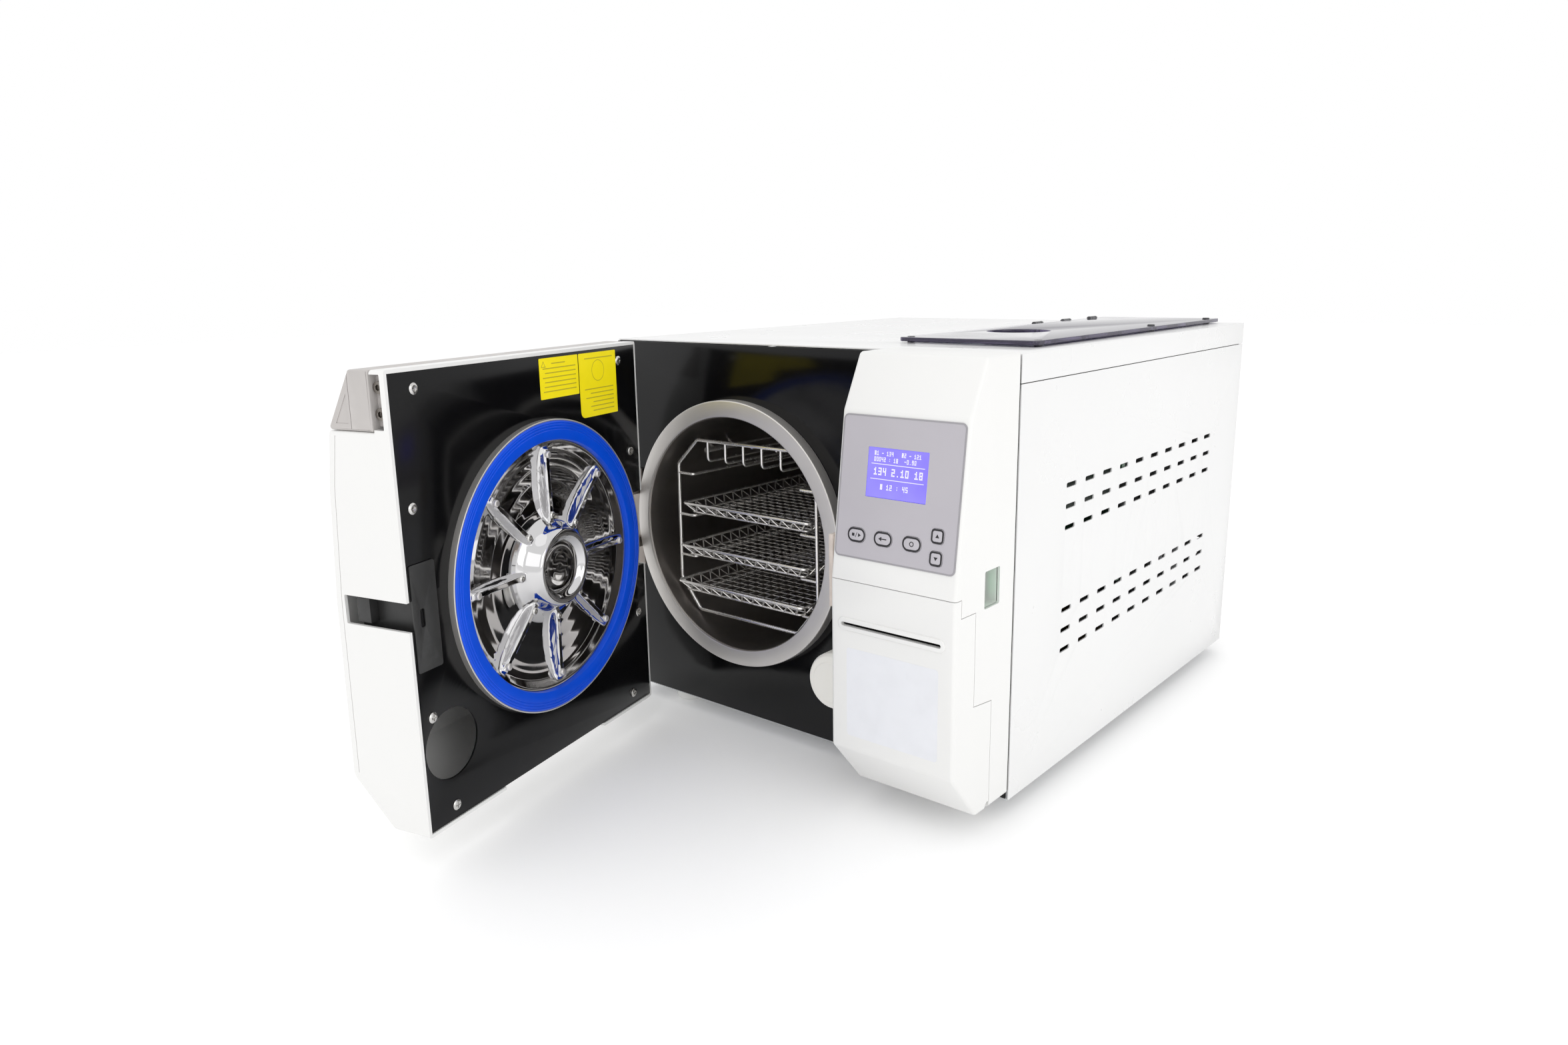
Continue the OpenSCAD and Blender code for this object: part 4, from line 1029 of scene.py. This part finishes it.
dome = fillet([(0, 5.4, 0), (3.4, 5.4, 0), (3.4, 2, 0)], [0, 2.4, 0], False)
for x, y in circle(0, 0, 108.2, RIBS):
    plate.lathe([(0, 0)] + uv(dome)[::-1], 20, 1, facing @ at(x, y, 0), False)
rim = fillet([(SEAT_R, SEAT_H, 0), (SEAT_R, 6.6, 0), (PLATE_R, 6.6, 0), (PLATE_R, 0, 0)], [0, 0.5, 0.6, 0],
             False, 4)
plate.lathe(uv(rim), TURNS, 1, facing, False)
back = [(PLATE_R, 0), (123, 0), (112, -6), (80, -9.8), (50, -8.6), (41, -2), (37, 10), (28, 7.4), (0, 6)]
plate.lathe(back, TURNS, 0, facing, False)
piece("pressed_plate", plate, [MIRROR, PLATE_RIM], "door", DOOR, "door_plate", crease=60)

# silicone seal with fine rings moulded into its face
section = [(139.4, 1.3), (139.4, 6.4), (138.6, 7.2)]
for r in (136.8, 134.2, 131.6):
    section += [(r + 0.7, 7.45), (r + 0.25, 7.05), (r - 0.25, 7.05), (r - 0.7, 7.45)]
section += [(123.6, 7.4), (121.8, 6.6), (121.05, 5), (121.05, 1.3)]
piece("door_gasket", Soup().lathe(section, 220, 0, facing), SEAL, "door", DOOR, "door_seal",
      crease=40)

# handle trim: a wedge and a plate for two bolts
wedge = fillet([(-38.2, 360.6, 0), (-86.4, 360.6, 0), (-59, 408.9, 0), (-38.2, 408.9, 0)], [0.8, 2.5, 3, 0.8])
trim = flat([uv(wedge)], *DOOR_X, 1.4, 3, matrix=ACROSS_X)
line = [flat([[(-60.6, 362), (-60.0, 362), (-60.0, 407), (-60.6, 407)]], 114.6, 118, matrix=ACROSS_X)]
line.append(flat([[(-77, 366), (-63.5, 366), (-63.5, 390)]], 115.0, 118, matrix=ACROSS_X))
trim = Soup().mesh(combine(trim, line)).slab((104.4, -38.2, 364), (107, -27, 404))
piece("handle_trim", trim, GREY_TRIM, "door", DOOR, "door_handle", recalc=False)

# the two yellow labels, printed with plain lines, a triangle and a ring
PRINT = (-21.66, -21.62)  # heights of the print on the labels' faces
labels = Soup()
random.seed(7)
for x0, z0, x1, z1, low in ((-131.6, 365, -72.6, 403, 186), (-195.1, 340, -133.1, 403, 184)):
    outline = [(-x, z) for x, z in ((x0, z0), (x1, z0), (x1, z1), (x0, z1))]
    round_all = fillet([Vector((*p, 0)) for p in outline], [1, 1, 1, 1] if z0 > 350 else [1, 6, 1, 1])
    labels.mesh(flat([uv(round_all)], -22.02, -21.66, 0.04, 1, matrix=FACING_BACK))
    rows = int((z1 - z0) / 4.6)
    for i in range(rows):
        z = z1 - 5 - 4.3 * i
        if z0 > 350:
            skip = 10 if i == 0 else 0
            bits = [(x0 + 4, x1 - 4 - skip)] if i else [(x0 + 20, x1 - 16)]
        else:
            bits = [] if 0 < i < 7 else [(x0 + 6, x1 - 6 - random.random() * 14)]
        for a, b in bits:
            b2 = b - random.random() * 6
            if z - 1.1 > z0 + 2:
                labels.slab((-b2, z - 1.0, PRINT[0]), (-a, z, PRINT[1]), 1, FACING_BACK)
ring_mark = [circle(164, 385, 10.5, 40), circle(164, 385, 9.9, 40)]
triangle = [[(75.2, 394.5), (82.2, 394.5), (78.7, 400.6)], [(76.4, 395.2), (81.0, 395.2), (78.7, 399.2)]]
for mark in (ring_mark, triangle):
    labels.mesh(flat(mark, *PRINT, matrix=FACING_BACK), 1)
piece("yellow_labels", labels, [YELLOW, OLIVE_PRINT], "door", DOOR, "caution_labels",
      recalc=False)

# ---- floor, light, camera

floor_mesh = bpy.data.meshes.new("floor")
reach, cells = 9.0, 12
ticks = [-reach + 2 * reach * i / cells for i in range(cells + 1)]
grid = [(x, y, 0) for y in ticks for x in ticks]
across = cells + 1
corner = [j * across + i for j in range(cells) for i in range(cells)]
quads = [(c, c + 1, c + across + 1, c + across) for c in corner]
floor_mesh.from_pydata(grid, [], quads)
floor = linked("floor", floor_mesh)
paper = Look("floor_paper", (0.95, 0.95, 0.95), 0.85)
paper.shader.inputs["Emission Color"].default_value = (1, 1, 1, 1)
paper.shader.inputs["Emission Strength"].default_value = 0.10
floor_mesh.materials.append(paper.vary(0.8, 0.4, 0.7, (0.94, 0.94, 0.94)).smear(5, 0.05).done())

world = bpy.data.worlds.new("studio")
bpy.context.scene.world = world
world.use_nodes = True
world.node_tree.nodes["Background"].inputs["Color"].default_value = (1.0, 1.0, 1.0, 1)
world.node_tree.nodes["Background"].inputs["Strength"].default_value = 1.0


def soft_light(name, place, target, size, power):
    data = bpy.data.lights.new(name, "AREA")
    data.shape, data.size, data.size_y, data.energy = "RECTANGLE", *size, power
    obj = linked(name, data)
    obj.location = place
    obj.rotation_euler = (Vector(target) - Vector(place)).to_track_quat("-Z", "Y").to_euler()


soft_light("over", (-0.6, -0.9, 2.2), (-0.1, -0.2, 0.2), (2.2, 2.2), 4)
soft_light("front", (0.9, -2.3, 1.3), (-0.1, 0, 0.2), (1.6, 1.4), 4)
soft_light("right", (2.4, -0.6, 1.0), (0, 0, 0.2), (1.6, 1.4), 7)

CAM_PLACE = Vector((0.6853, -0.9028, 0.4930))
yaw, pitch, roll = math.radians(40.46), math.radians(-13.14), math.radians(-1.01)
ahead = Vector((-math.sin(yaw) * math.cos(pitch), math.cos(yaw) * math.cos(pitch), math.sin(pitch)))
right = ahead.cross(Vector((0, 0, 1))).normalized()
up = right.cross(ahead)
cam_x = math.cos(roll) * right + math.sin(roll) * up
cam_y = -math.sin(roll) * right + math.cos(roll) * up
camera = linked("camera", bpy.data.cameras.new("camera"))
camera.data.lens, camera.data.sensor_width = 24.63, 36
camera.data.clip_start, camera.data.clip_end = 0.01, 60
camera.matrix_world = Matrix((
    (cam_x.x, cam_y.x, -ahead.x, CAM_PLACE.x),
    (cam_x.y, cam_y.y, -ahead.y, CAM_PLACE.y),
    (cam_x.z, cam_y.z, -ahead.z, CAM_PLACE.z),
    (0, 0, 0, 1)))
bpy.context.scene.camera = camera
bpy.context.scene.view_settings.view_transform = "Standard"
